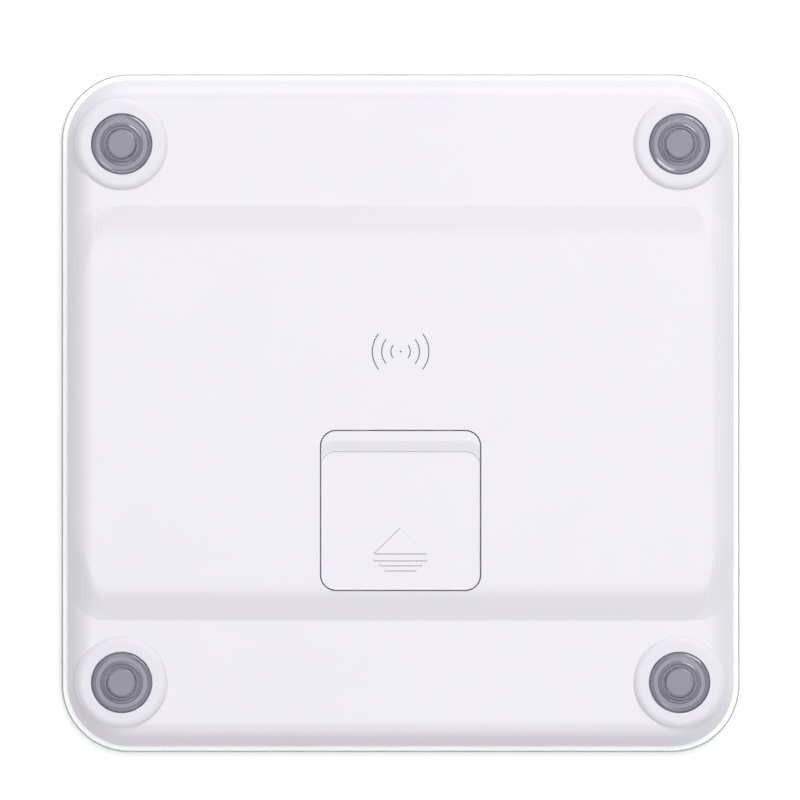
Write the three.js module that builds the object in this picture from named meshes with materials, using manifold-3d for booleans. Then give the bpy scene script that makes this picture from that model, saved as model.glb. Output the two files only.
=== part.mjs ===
// Digital body scale: a glass standing platform bonded to a shallow moulded housing, with
// a battery bay, a load cell over each foot and the electronics between them.
//
// Frame, in millimetres: the scale lies face down, as it does when its batteries are changed.
// Z = 0 is the outer face of the glass, +Z points out of the underside towards the feet,
// and +Y points to the edge where the display sits. The origin is the glass's centre.

import * as THREE from 'three';
import { mergeVertices } from 'three/addons/utils/BufferGeometryUtils.js';
import Module from 'manifold-3d';

const wasm = await Module();
wasm.setup();

// ---- Driving dimensions -------------------------------------------------------------

const PLATFORM_HALF = 130;        // half of the 260 mm square platform
const PLATFORM_CORNER = 26;
const GLASS_THICKNESS = 5;
const ENAMEL_THICKNESS = 0.4;     // white ceramic print and its bond line
const GLASS_BEVEL = 0.5;
const ENAMEL_MARGIN = 0.5;        // clear edge of glass outside the print

const HOUSING_HALF = 127.5;
const HOUSING_CORNER = 24;
const WALL = 2;
const HOUSING_SEAT_Z = GLASS_THICKNESS + ENAMEL_THICKNESS;
const FLANGE_WIDTH = 3.2;
const FLANGE_THICKNESS = 1.6;

const RIM_WIDTH = 10;             // rounded rim round the underside
const RIM_RADIUS = 12;
const END_ZONE_Z = 18.3;          // the two flats that carry the feet
const PLATEAU_Z = 20.8;           // the raised middle
const RIM_EDGE_Z = END_ZONE_Z - rimDrop(0);
const CREASE_Y = 79.2;            // foot of the plateau's slope
const SHOULDER_Y = 64.4;          // top of the plateau's slope
const CORNER_START_X = 106.5;     // the plateau's corners turn in from here,
const CORNER_END_X = 120;         // to here,
const CORNER_TURN = 9;            // by this much

const FOOT_X = 106.6;
const FOOT_Y = 102.9;
const FOOT_FACE_Z = 22.5;
const FOOT_PAD_R = 5.5;
const FOOT_TRAVEL = 0.4;
const BOSS_FACE_Z = 19.5;
const BOSS_FACE_R = 14.8;         // flat as far as here, then rounded down
const BOSS_ROUND = 3.9;
const BOSS_SLOPE_R = 17.6;        // where the rounding meets the end zone
const BOSS_OUTER_R = 17.8;
const BOSS_WALL_DEPTH = 3.6;      // how far its outer wall goes down where it leaves the rim
const FOOT_HOLE_R = 11.9;
const DIAPHRAGM_R = 11.6;

const CELL_PLATE_HALF = 14;       // load cell plate, 28 mm square
const CELL_PLATE_CORNER = 8;
const CELL_PLATE_THICKNESS = 1.2;
const CELL_PLATE_Z = 12.1;        // its face towards the glass

const DOOR_CENTRE_Y = -37.2;
const DOOR_HALF = 30.4;
const DOOR_CORNER = 5.8;
const DOOR_GAP = 0.4;
const DOOR_INNER_Z = 18;
const DOOR_FACE_Z = 19.6;         // thumb face, sunk below the plateau
const DOOR_STRIP = 3.8;           // strip along the hinge edge, level with the plateau
const DOOR_SLOPE = 4.2;           // thumb ledge between the strip and the sunk face

const BATTERY_R = 5.25;           // AAA cell
const BATTERY_LENGTH = 43.7;
const BATTERY_NUB = 0.8;
const BATTERY_PITCH = 11;
const BATTERY_Z = 11.9;
const BATTERY_COUNT = 4;

const BAY_HALF_X = 23;
const BAY_HALF_Y = 25.3;
const TRAY_HALF = 32.5;
const TRAY_FLOOR_Z = 6.5;
const TRAY_LEDGE_Z = 14.4;

const BOARD_X = 30;               // half sizes of the main board
const BOARD_Y = 19;
const BOARD_CENTRE_Y = 42;
const BOARD_Z = 9.4;              // its face towards the glass
const BOARD_THICKNESS = 1.6;

const DISPLAY_X = 38;
const DISPLAY_Y = 15;
const DISPLAY_CENTRE_Y = 91;
const DISPLAY_BOARD_Z = 11.4;
const DISPLAY_BOARD_THICKNESS = 1.2;
const DISPLAY_WINDOW_X = 33;
const DISPLAY_WINDOW_Y = 12;

const SCREW_POST_R = 2.6;
const SCREW_HOLE_R = 1.4;
const CONTACT_HALF = 4.2;         // half of the width that a contact plate gives each cell
const CONTACT_THICKNESS = 0.4;
const CELL_END_GAP = 0.6;         // from the bay's wall to a cell's nub

const GAP = 0.3;                  // play between neighbouring pieces
const INSIDE_Z = PLATEAU_Z - WALL;
const END_INSIDE_Z = END_ZONE_Z - WALL;

// ---- Solids --------------------------------------------------------------------------

// Turns a closed three.js geometry into a solid whose faces point out.
function solid(geometry) {
  const bare = geometry.clone();
  bare.deleteAttribute('normal');
  bare.deleteAttribute('uv');
  const merged = mergeVertices(bare, 1e-4);
  const vertProperties = new Float32Array(merged.attributes.position.array);
  const triVerts = new Uint32Array(merged.index.array);
  if (signedVolume(vertProperties, triVerts) < 0) {
    for (let i = 0; i < triVerts.length; i += 3) {
      [triVerts[i], triVerts[i + 1]] = [triVerts[i + 1], triVerts[i]];
    }
  }
  return new wasm.Manifold(new wasm.Mesh({ numProp: 3, vertProperties, triVerts }));
}

function signedVolume(points, triangles) {
  const corner = (i) => new THREE.Vector3().fromArray(points, 3 * triangles[i]);
  let total = 0;
  for (let i = 0; i < triangles.length; i += 3) {
    total += corner(i).dot(corner(i + 1).cross(corner(i + 2)));
  }
  return total / 6;
}

function toGeometry(body) {
  const mesh = body.getMesh();
  const geometry = new THREE.BufferGeometry();
  geometry.setAttribute('position', new THREE.BufferAttribute(mesh.vertProperties, 3));
  geometry.setIndex(new THREE.BufferAttribute(mesh.triVerts, 1));
  geometry.computeVertexNormals();
  return geometry;
}

function union(...bodies) {
  return bodies.reduce((joined, body) => joined.add(body));
}

function cut(body, ...tools) {
  return tools.reduce((rest, tool) => rest.subtract(tool), body);
}

// ---- Basic shapes ----------------------------------------------------------------------

function roundedShape(halfX, halfY, radius, centreX = 0, centreY = 0) {
  const x = halfX - radius;
  const y = halfY - radius;
  const shape = new THREE.Shape();
  shape.moveTo(centreX - x, centreY - halfY);
  shape.lineTo(centreX + x, centreY - halfY);
  shape.absarc(centreX + x, centreY - y, radius, -Math.PI / 2, 0);
  shape.lineTo(centreX + halfX, centreY + y);
  shape.absarc(centreX + x, centreY + y, radius, 0, Math.PI / 2);
  shape.lineTo(centreX - x, centreY + halfY);
  shape.absarc(centreX - x, centreY + y, radius, Math.PI / 2, Math.PI);
  shape.lineTo(centreX - halfX, centreY - y);
  shape.absarc(centreX - x, centreY - y, radius, Math.PI, 1.5 * Math.PI);
  return shape;
}

function slab(shape, lowZ, highZ, curveSegments = 6) {
  const options = { depth: highZ - lowZ, bevelEnabled: false, curveSegments };
  return solid(new THREE.ExtrudeGeometry(shape, options).translate(0, 0, lowZ));
}

function block(lowX, highX, lowY, highY, lowZ, highZ) {
  const geometry = new THREE.BoxGeometry(highX - lowX, highY - lowY, highZ - lowZ);
  return solid(geometry.translate((lowX + highX) / 2, (lowY + highY) / 2, (lowZ + highZ) / 2));
}

function post(radius, lowZ, highZ, x, y, sides = 16) {
  const geometry = new THREE.CylinderGeometry(radius, radius, highZ - lowZ, sides);
  return solid(geometry.rotateX(Math.PI / 2).translate(x, y, (lowZ + highZ) / 2));
}

// Revolves a profile of [radius, z] points about the Z axis.
function turned(profile, segments) {
  const points = profile.map(([radius, z]) => new THREE.Vector2(radius, z));
  return solid(new THREE.LatheGeometry(points, segments).rotateX(Math.PI / 2));
}

// Extrudes an outline of [y, z] points along X.
function prismAlongX(outline, lowX, highX) {
  const shape = new THREE.Shape(outline.map(([y, z]) => new THREE.Vector2(y, z)));
  const geometry = new THREE.ExtrudeGeometry(shape, { depth: highX - lowX, bevelEnabled: false });
  const axes = new THREE.Matrix4().makeBasis(
    new THREE.Vector3(0, 1, 0),
    new THREE.Vector3(0, 0, 1),
    new THREE.Vector3(1, 0, 0),
  );
  return solid(geometry.applyMatrix4(axes).translate(lowX, 0, 0));
}

// A round wire or lead along a smooth route of [x, y, z] points.
function wire(route, radius, steps, sides = 6) {
  const path = new THREE.CatmullRomCurve3(route.map((point) => new THREE.Vector3(...point)));
  const section = new THREE.Shape();
  for (let i = 0; i < sides; i += 1) {
    const angle = (2 * Math.PI * i) / sides;
    const point = [radius * Math.cos(angle), radius * Math.sin(angle)];
    if (i === 0) section.moveTo(...point);
    else section.lineTo(...point);
  }
  return solid(new THREE.ExtrudeGeometry(section, { extrudePath: path, steps }));
}

function corners() {
  return [[1, 1], [-1, 1], [-1, -1], [1, -1]];
}

// ---- Underside surface -------------------------------------------------------------------

// How far the rim has dropped at a distance in from the housing's edge.
function rimDrop(inset) {
  const across = Math.max(0, RIM_WIDTH - inset);
  return RIM_RADIUS - Math.sqrt(RIM_RADIUS ** 2 - across ** 2);
}

// Distance in from the edge of the housing's rounded square.
function edgeInset(x, y) {
  const straight = HOUSING_HALF - HOUSING_CORNER;
  const pastX = Math.abs(x) - straight;
  const pastY = Math.abs(y) - straight;
  if (pastX > 0 && pastY > 0) return HOUSING_CORNER - Math.hypot(pastX, pastY);
  return HOUSING_CORNER - Math.max(pastX, pastY);
}

// How far the plateau's corners have turned in: 0 over the middle, 1 at the sides.
function cornerTurn(x) {
  const part = (Math.abs(x) - CORNER_START_X) / (CORNER_END_X - CORNER_START_X);
  return (1 - Math.cos(Math.PI * Math.min(1, Math.max(0, part)))) / 2;
}

// Straight for the first half of the slope, then easing into the plateau.
function slopeRise(part) {
  const eased = Math.max(0, part - 0.5);
  return (4 / 3) * (part - eased ** 2);
}

function undersideZ(x, y) {
  const crease = CREASE_Y - CORNER_TURN * cornerTurn(x);
  const part = Math.min(1, Math.max(0, (crease - Math.abs(y)) / (CREASE_Y - SHOULDER_Y)));
  const zone = END_ZONE_Z + (PLATEAU_Z - END_ZONE_Z) * slopeRise(part);
  return zone - rimDrop(Math.max(0, edgeInset(x, y)));
}

// Grid lines across the underside: close together over the rim and the slopes.
function gridLines(extra) {
  const rim = [0, 1.5, 3.5, 6.2, RIM_WIDTH].map((inset) => HOUSING_HALF - inset);
  const corner = [HOUSING_HALF - 16, HOUSING_HALF - HOUSING_CORNER];
  const half = [PLATFORM_HALF, ...rim, ...corner, ...extra].sort((a, b) => a - b);
  return [...half.map((value) => -value).reverse(), 0, ...half];
}

// A block whose upper face follows the underside's height.
function undersideBlock() {
  const slope = CREASE_Y - SHOULDER_Y;
  const xLines = gridLines([CORNER_START_X, (CORNER_START_X + CORNER_END_X) / 2]);
  const yLines = gridLines([CREASE_Y, CREASE_Y - 0.5 * slope, CREASE_Y - 0.75 * slope,
    SHOULDER_Y, SHOULDER_Y - CORNER_TURN]);
  const countX = xLines.length - 1;
  const countY = yLines.length - 1;
  const geometry = new THREE.BoxGeometry(1, 1, 1, countX, countY, 1);
  const place = geometry.attributes.position;
  for (let i = 0; i < place.count; i += 1) {
    const x = xLines[Math.round((place.getX(i) + 0.5) * countX)];
    const y = yLines[Math.round((place.getY(i) + 0.5) * countY)];
    const z = place.getZ(i) > 0 ? undersideZ(x, y) : HOUSING_SEAT_Z;
    place.setXYZ(i, x, y, z);
  }
  return solid(geometry);
}

// ---- Casings ---------------------------------------------------------------------------------

function housingOutside() {
  const outline = roundedShape(HOUSING_HALF, HOUSING_HALF, HOUSING_CORNER);
  return undersideBlock().intersect(slab(outline, 0, PLATEAU_Z + WALL, 6));
}

// Everything below the middle line of the underside, lowered by a wall thickness.
function belowUnderside(lowering) {
  const steps = 6;
  const half = HOUSING_HALF;
  const slope = [];
  for (let i = 0; i <= steps; i += 1) {
    const y = CREASE_Y + (SHOULDER_Y - CREASE_Y) * (i / steps);
    slope.push([y, undersideZ(0, y) - lowering]);
  }
  const side = [[half, 0], [half, END_ZONE_Z - lowering], ...slope];
  const mirrored = side.map(([y, z]) => [-y, z]).reverse();
  return prismAlongX([...side, ...mirrored], -half, half);
}

// The hollow under the shell, with a lip left round the seat for bonding to the glass.
function housingHollow() {
  const lipHalf = HOUSING_HALF - FLANGE_WIDTH;
  const flatHalf = HOUSING_HALF - RIM_WIDTH;
  const lip = roundedShape(lipHalf, lipHalf, HOUSING_CORNER - FLANGE_WIDTH);
  const flat = roundedShape(flatHalf, flatHalf, HOUSING_CORNER - RIM_WIDTH);
  const middle = roundedShape(flatHalf - 3, flatHalf, 4);
  const belowRim = RIM_EDGE_Z - WALL;
  const options = {
    depth: belowRim,
    bevelEnabled: true,
    bevelThickness: END_INSIDE_Z - belowRim,
    bevelSize: RIM_WIDTH - WALL,
    bevelSegments: 4,
    curveSegments: 6,
  };
  const lipTopZ = HOUSING_SEAT_Z + FLANGE_THICKNESS;
  const aboveLip = block(-PLATFORM_HALF, PLATFORM_HALF, -PLATFORM_HALF, PLATFORM_HALF,
    lipTopZ, PLATEAU_Z);
  return union(
    solid(new THREE.ExtrudeGeometry(flat, options)).intersect(aboveLip),
    slab(lip, 0, lipTopZ + 0.5),
    slab(middle, belowRim, PLATEAU_Z).intersect(belowUnderside(WALL)),
  );
}

// Round boss whose outer wall stands out of the rim, with a skirt down to the load cell.
function footBoss() {
  const skirtZ = CELL_PLATE_Z + CELL_PLATE_THICKNESS + GAP;
  const wallFootZ = END_ZONE_Z - BOSS_WALL_DEPTH;
  const insideShellZ = END_INSIDE_Z + GAP;
  const profile = [
    [0, skirtZ],
    [FOOT_HOLE_R + WALL, skirtZ],
    [FOOT_HOLE_R + WALL, insideShellZ],
    [FOOT_HOLE_R + 1.5 * WALL, insideShellZ],
    [BOSS_OUTER_R, wallFootZ],
    [BOSS_OUTER_R, END_ZONE_Z],
  ];
  const steps = 5;
  for (let i = 0; i <= steps; i += 1) {
    const radius = BOSS_SLOPE_R + (BOSS_FACE_R - BOSS_SLOPE_R) * (i / steps);
    const drop = BOSS_ROUND - Math.sqrt(BOSS_ROUND ** 2 - (radius - BOSS_FACE_R) ** 2);
    profile.push([radius, BOSS_FACE_Z - drop]);
  }
  profile.push([0, BOSS_FACE_Z]);
  return turned(profile, 24);
}

function footHole() {
  return post(FOOT_HOLE_R, 0, FOOT_FACE_Z, 0, 0, 24);
}

const SCREW_PLACES = [
  ...corners().map(([sx, sy]) => [sx * (BOARD_X - 4), BOARD_CENTRE_Y + sy * (BOARD_Y - 4)]),
];
const DISPLAY_SCREWS = [[-(DISPLAY_X - 3), DISPLAY_CENTRE_Y], [DISPLAY_X - 3, DISPLAY_CENTRE_Y]];

function baseHousing() {
  const doorway = roundedShape(DOOR_HALF + DOOR_GAP, DOOR_HALF + DOOR_GAP, DOOR_CORNER + DOOR_GAP,
    0, DOOR_CENTRE_Y);
  let body = cut(housingOutside(), housingHollow());
  for (const [sx, sy] of corners()) {
    body = body.add(footBoss().translate(sx * FOOT_X, sy * FOOT_Y, 0));
    body = body.subtract(footHole().translate(sx * FOOT_X, sy * FOOT_Y, 0));
  }
  for (const [x, y] of SCREW_PLACES) {
    const boss = post(SCREW_POST_R, BOARD_Z + BOARD_THICKNESS, INSIDE_Z + 0.5, x, y, 8);
    body = body.add(boss).subtract(post(SCREW_HOLE_R, 0, INSIDE_Z - 1, x, y, 8));
  }
  for (const [x, y] of DISPLAY_SCREWS) {
    const foot = DISPLAY_BOARD_Z + DISPLAY_BOARD_THICKNESS;
    const boss = post(SCREW_POST_R, foot, END_INSIDE_Z + 0.5, x, y, 8);
    body = body.add(boss).subtract(post(SCREW_HOLE_R, 0, END_INSIDE_Z, x, y, 8));
  }
  return body.subtract(slab(doorway, 0, PLATEAU_Z + WALL, 5));
}

function glassPlatform() {
  const half = PLATFORM_HALF - GLASS_BEVEL;
  const options = {
    depth: GLASS_THICKNESS - 2 * GLASS_BEVEL,
    bevelEnabled: true,
    bevelThickness: GLASS_BEVEL,
    bevelSize: GLASS_BEVEL,
    bevelSegments: 2,
    curveSegments: 8,
  };
  const shape = roundedShape(half, half, PLATFORM_CORNER - GLASS_BEVEL);
  return solid(new THREE.ExtrudeGeometry(shape, options).translate(0, 0, GLASS_BEVEL));
}

function enamelLayer() {
  const half = PLATFORM_HALF - ENAMEL_MARGIN;
  const sheet = slab(roundedShape(half, half, PLATFORM_CORNER - ENAMEL_MARGIN),
    GLASS_THICKNESS, HOUSING_SEAT_Z, 8);
  const opening = roundedShape(DISPLAY_WINDOW_X, DISPLAY_WINDOW_Y, 3, 0, DISPLAY_CENTRE_Y);
  return sheet.subtract(slab(opening, 0, HOUSING_SEAT_Z + 1));
}

function displayFilter() {
  const half = [DISPLAY_WINDOW_X - GAP, DISPLAY_WINDOW_Y - GAP];
  const shape = roundedShape(half[0], half[1], 2.7, 0, DISPLAY_CENTRE_Y);
  return slab(shape, GLASS_THICKNESS, HOUSING_SEAT_Z);
}

// ---- Battery bay --------------------------------------------------------------------------------

const TONGUE_X = 16;
const TONGUE_HALF = 3.5;
const HINGE_Y = DOOR_CENTRE_Y + DOOR_HALF;
const LATCH_Y = DOOR_CENTRE_Y - DOOR_HALF;

function batteryTray() {
  const openHalf = DOOR_HALF + DOOR_GAP;
  const outer = roundedShape(TRAY_HALF, TRAY_HALF, DOOR_CORNER + 2, 0, DOOR_CENTRE_Y);
  const mouth = roundedShape(openHalf, openHalf, DOOR_CORNER + DOOR_GAP, 0, DOOR_CENTRE_Y);
  const bay = roundedShape(BAY_HALF_X, BAY_HALF_Y, 2, 0, DOOR_CENTRE_Y);
  const notches = [-1, 1].map((side) => block(
    side * TONGUE_X - TONGUE_HALF - 1, side * TONGUE_X + TONGUE_HALF + 1,
    HINGE_Y - 1, HINGE_Y + 4, INSIDE_Z - 3.4, INSIDE_Z + 1));
  const catchSlot = block(-5, 5, LATCH_Y - 4, LATCH_Y + 1, TRAY_LEDGE_Z + 1, INSIDE_Z - 1.4);
  return cut(
    slab(outer, HOUSING_SEAT_Z + GAP, INSIDE_Z, 5).intersect(belowUnderside(WALL + 0.1)),
    slab(mouth, TRAY_LEDGE_Z, PLATEAU_Z, 5),
    slab(bay, TRAY_FLOOR_Z, PLATEAU_Z, 4),
    ...notches,
    catchSlot,
  );
}

function batteryX(index) {
  return (index - (BATTERY_COUNT - 1) / 2) * BATTERY_PITCH;
}

// Every second cell is turned round, so that the four are in series.
function batteryTurn(index) {
  return index % 2 === 0 ? 1 : -1;
}

function batteryCell(index) {
  const profile = [
    [0, 0],
    [BATTERY_R - 0.4, 0],
    [BATTERY_R, 0.4],
    [BATTERY_R, BATTERY_LENGTH - 0.6],
    [BATTERY_R - 0.6, BATTERY_LENGTH],
    [1.9, BATTERY_LENGTH],
    [1.9, BATTERY_LENGTH + BATTERY_NUB],
    [0, BATTERY_LENGTH + BATTERY_NUB],
  ];
  const turn = batteryTurn(index);
  const nubEnd = DOOR_CENTRE_Y + turn * (BAY_HALF_Y - CELL_END_GAP);
  const base = nubEnd - turn * (BATTERY_LENGTH + BATTERY_NUB);
  return turned(profile, 16).rotate([-90 * turn, 0, 0]).translate(batteryX(index), base, BATTERY_Z);
}

function contactPlate(firstX, lastX, side) {
  const wallY = DOOR_CENTRE_Y + side * BAY_HALF_Y;
  const faceY = wallY - side * CONTACT_THICKNESS;
  return block(firstX - CONTACT_HALF, lastX + CONTACT_HALF, Math.min(wallY, faceY), Math.max(wallY, faceY),
    TRAY_FLOOR_Z + 0.6, BATTERY_Z + 4.5);
}

// Cone spring between a contact plate and the flat end of a cell.
function contactSpring(index) {
  const turn = batteryTurn(index);
  const plateY = DOOR_CENTRE_Y - turn * (BAY_HALF_Y - CONTACT_THICKNESS);
  const cellEnd = BAY_HALF_Y - CELL_END_GAP - BATTERY_LENGTH - BATTERY_NUB;
  const cellY = DOOR_CENTRE_Y + turn * cellEnd;
  const wireR = 0.35;
  const turns = 2.5;
  const points = 24;
  const startY = plateY + turn * (wireR + 0.1);
  const endY = cellY - turn * (wireR + 0.1);
  const route = [];
  for (let i = 0; i <= points; i += 1) {
    const part = i / points;
    const angle = 2 * Math.PI * turns * part;
    const radius = 3.6 - 1.3 * part;
    route.push([
      batteryX(index) + radius * Math.cos(angle),
      startY + (endY - startY) * part,
      BATTERY_Z + radius * Math.sin(angle),
    ]);
  }
  return wire(route, wireR, 26, 5);
}

// ---- Battery door -----------------------------------------------------------------------------

function batteryDoor() {
  const outline = roundedShape(DOOR_HALF, DOOR_HALF, DOOR_CORNER, 0, DOOR_CENTRE_Y);
  const stripY = HINGE_Y - DOOR_STRIP;
  const faceY = stripY - DOOR_SLOPE;
  const sunk = prismAlongX([
    [LATCH_Y - 5, DOOR_FACE_Z], [faceY, DOOR_FACE_Z], [stripY, PLATEAU_Z],
    [stripY, PLATEAU_Z + 2], [LATCH_Y - 5, PLATEAU_Z + 2],
  ], -DOOR_HALF - 5, DOOR_HALF + 5);
  const tongues = [-1, 1].map((side) => block(
    side * TONGUE_X - TONGUE_HALF, side * TONGUE_X + TONGUE_HALF,
    HINGE_Y - 2.5, HINGE_Y + 2.6, DOOR_INNER_Z - 1.2, DOOR_INNER_Z + 0.4));
  const catchLeg = block(-4, 4, LATCH_Y + 0.4, LATCH_Y + 1.6, DOOR_INNER_Z - 2.4,
    DOOR_INNER_Z + 0.4);
  const catchNose = block(-4, 4, LATCH_Y - 0.2, LATCH_Y + 1, DOOR_INNER_Z - 2.4,
    DOOR_INNER_Z - 1.4);
  return union(cut(slab(outline, DOOR_INNER_Z, PLATEAU_Z, 5), sunk), ...tongues, catchLeg,
    catchNose);
}

function doorFoam() {
  const shape = roundedShape(BAY_HALF_X - 2, 14, 2, 0, DOOR_CENTRE_Y);
  return slab(shape, BATTERY_Z + BATTERY_R + 0.05, DOOR_INNER_Z, 3);
}

// ---- Feet and load cells -----------------------------------------------------------------------

function footPad() {
  const round = 0.5;
  const lowZ = CELL_PLATE_Z + CELL_PLATE_THICKNESS + FOOT_TRAVEL + 0.1;
  const profile = [
    [0, lowZ],
    [FOOT_PAD_R - 0.6, lowZ],
    [FOOT_PAD_R, lowZ + 0.6],
    [FOOT_PAD_R, FOOT_FACE_Z - round],
    [FOOT_PAD_R - 0.3 * round, FOOT_FACE_Z - 0.3 * round],
    [FOOT_PAD_R - round, FOOT_FACE_Z],
    [0, FOOT_FACE_Z],
  ];
  return turned(profile, 16);
}

// Corrugated ring that seals the gap between the boss and the pad.
function footDiaphragm() {
  const thickness = 1.2;
  const innerR = FOOT_PAD_R + GAP;
  const lowZ = BOSS_FACE_Z - thickness;
  const profile = [
    [DIAPHRAGM_R, lowZ],
    [DIAPHRAGM_R, BOSS_FACE_Z - 0.4],
    [10.7, BOSS_FACE_Z + 0.55],
    [10, BOSS_FACE_Z + 0.05],
    [8.2, BOSS_FACE_Z + 0.15],
    [7.6, BOSS_FACE_Z + 1],
    [6.4, BOSS_FACE_Z + 0.7],
    [6.2, BOSS_FACE_Z - 0.4],
    [innerR, BOSS_FACE_Z - 0.5],
    [innerR, lowZ],
    [DIAPHRAGM_R, lowZ],
  ];
  return turned(profile, 24);
}

// Plate with a slot that leaves a tongue at its middle, where the pad presses.
function loadCell() {
  const outline = roundedShape(CELL_PLATE_HALF, CELL_PLATE_HALF, CELL_PLATE_CORNER);
  const top = CELL_PLATE_Z + CELL_PLATE_THICKNESS;
  const slotAt = (lowX, highX, lowY, highY) =>
    block(lowX, highX, lowY, highY, CELL_PLATE_Z - 1, top + 1);
  return cut(slab(outline, CELL_PLATE_Z, top, 4),
    slotAt(-9.5, -7.5, -9.5, 8), slotAt(7.5, 9.5, -9.5, 8), slotAt(-9.5, 9.5, -9.5, -7.5));
}

function loadCellFrame() {
  const outline = roundedShape(CELL_PLATE_HALF, CELL_PLATE_HALF, CELL_PLATE_CORNER);
  const hollowHalf = CELL_PLATE_HALF - 2.6;
  const hollow = roundedShape(hollowHalf, hollowHalf, CELL_PLATE_CORNER - 2.6);
  return cut(slab(outline, HOUSING_SEAT_Z, CELL_PLATE_Z, 4),
    slab(hollow, HOUSING_SEAT_Z + 1.2, CELL_PLATE_Z + 1, 4));
}

// ---- Electronics --------------------------------------------------------------------------------

function screwAt(x, y, headZ, length) {
  const profile = [
    [0, headZ - 1.4],
    [2, headZ - 1.4],
    [2.4, headZ - 0.9],
    [2.4, headZ],
    [1, headZ],
    [1, headZ + length - 1],
    [0, headZ + length],
  ];
  return turned(profile, 12).translate(x, y, 0);
}

function mainBoard() {
  const outline = roundedShape(BOARD_X, BOARD_Y, 1.5, 0, BOARD_CENTRE_Y);
  const holes = SCREW_PLACES.map(([x, y]) => post(SCREW_HOLE_R, 0, PLATEAU_Z, x, y, 12));
  return cut(slab(outline, BOARD_Z, BOARD_Z + BOARD_THICKNESS, 2), ...holes);
}

function processorBlob() {
  const top = BOARD_Z + BOARD_THICKNESS;
  const profile = [[0, top], [6.5, top], [6, top + 0.8], [4.4, top + 1.4], [2.2, top + 1.7],
    [0, top + 1.8]];
  return turned(profile, 20).translate(-8, BOARD_CENTRE_Y - 4, 0);
}

function radioModule() {
  const top = BOARD_Z + BOARD_THICKNESS;
  return slab(roundedShape(6.5, 8.5, 0.8, 14, BOARD_CENTRE_Y + 7), top, top + 2.2, 2);
}

function batterySocket() {
  const top = BOARD_Z + BOARD_THICKNESS;
  const lowY = BOARD_CENTRE_Y - BOARD_Y + 1;
  const body = block(2, 10, lowY, lowY + 6, top, top + 5);
  return body.subtract(block(3, 9, lowY - 1, lowY + 4.5, top + 1, top + 4));
}

function displayBoard() {
  const outline = roundedShape(DISPLAY_X, DISPLAY_Y, 1.5, 0, DISPLAY_CENTRE_Y);
  const holes = DISPLAY_SCREWS.map(([x, y]) => post(SCREW_HOLE_R, 0, PLATEAU_Z, x, y, 12));
  return cut(slab(outline, DISPLAY_BOARD_Z, DISPLAY_BOARD_Z + DISPLAY_BOARD_THICKNESS, 2), ...holes);
}

function digitDisplay() {
  const outline = roundedShape(30, 10.5, 1, 0, DISPLAY_CENTRE_Y);
  return slab(outline, HOUSING_SEAT_Z + 0.4, DISPLAY_BOARD_Z, 2);
}

// Lead from a load cell to the edge of the main board, laid flat inside the shell.
function sensorLead(sx, sy) {
  const startX = FOOT_X - CELL_PLATE_HALF - 1;
  const boardX = BOARD_X + 0.6;
  const boardY = BOARD_CENTRE_Y + (sy > 0 ? 8 : -6);
  const route = sy > 0
    ? [[startX, 96, 9], [78, 82, 8.2], [58, 64, 7.6], [42, boardY + 2, 8.6], [boardX, boardY, 10]]
    : [[startX, -96, 9], [72, -78, 8.2], [48, -44, 7.6], [44, 0, 7.6], [44, boardY - 8, 8.6],
      [boardX, boardY, 10]];
  return wire(route.map(([x, y, z]) => [sx * x, y, z]), 0.9, sy > 0 ? 14 : 24);
}

// Lead from the bay's end contacts up to the socket on the main board.
function batteryLead(side) {
  const socketX = 6 + side * 1.4;
  const top = BOARD_Z + BOARD_THICKNESS;
  const trayEnd = DOOR_CENTRE_Y + TRAY_HALF + 0.6;
  const route = [
    [side * 14, trayEnd, 10],
    [side * 12, trayEnd + 6, 11],
    [socketX + side, 16, 13],
    [socketX, BOARD_CENTRE_Y - BOARD_Y + 0.4, top + 2.5],
  ];
  return wire(route, 0.7, 12);
}

// ---- Materials --------------------------------------------------------------------------------------

function material(color, roughness, metalness = 0) {
  return new THREE.MeshStandardMaterial({ color, roughness, metalness });
}

const whitePlastic = material(0xf2eff6, 0.38);
const greyPlastic = material(0x9a9aa4, 0.42);
const greyRubber = material(0x95959f, 0.5);
const clearGlass = material(0xdfeeea, 0.05);
const whiteEnamel = material(0xfbfdfc, 0.3);
const smokedFilm = material(0x2c2d30, 0.25);
const innerPlastic = material(0xdcdcde, 0.5);
const cellSleeve = material(0x2f5f9e, 0.35, 0.2);
const nickelSteel = material(0xc3c4c4, 0.3, 0.9);
const springSteel = material(0xb0b1b3, 0.25, 0.9);
const greyFoam = material(0x55565a, 0.95);
const boardLaminate = material(0x1d5a38, 0.45);
const blackEpoxy = material(0x17171a, 0.3);
const displayBlack = material(0x101114, 0.2);
const redSleeve = material(0xb3261e, 0.5);
const blackSleeve = material(0x1c1c1e, 0.5);
const whiteSleeve = material(0xe4e4e2, 0.5);

// ---- Assembly ------------------------------------------------------------------------------------------

const scale = new THREE.Group();

function add(name, body, finish, parent = scale) {
  const mesh = new THREE.Mesh(toGeometry(body), finish);
  mesh.name = name;
  parent.add(mesh);
}

function addCasings() {
  add('base_housing', baseHousing(), whitePlastic);
  add('glass_platform', glassPlatform(), clearGlass);
  add('enamel_layer', enamelLayer(), whiteEnamel);
  add('display_filter', displayFilter(), smokedFilm);
}

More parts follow.
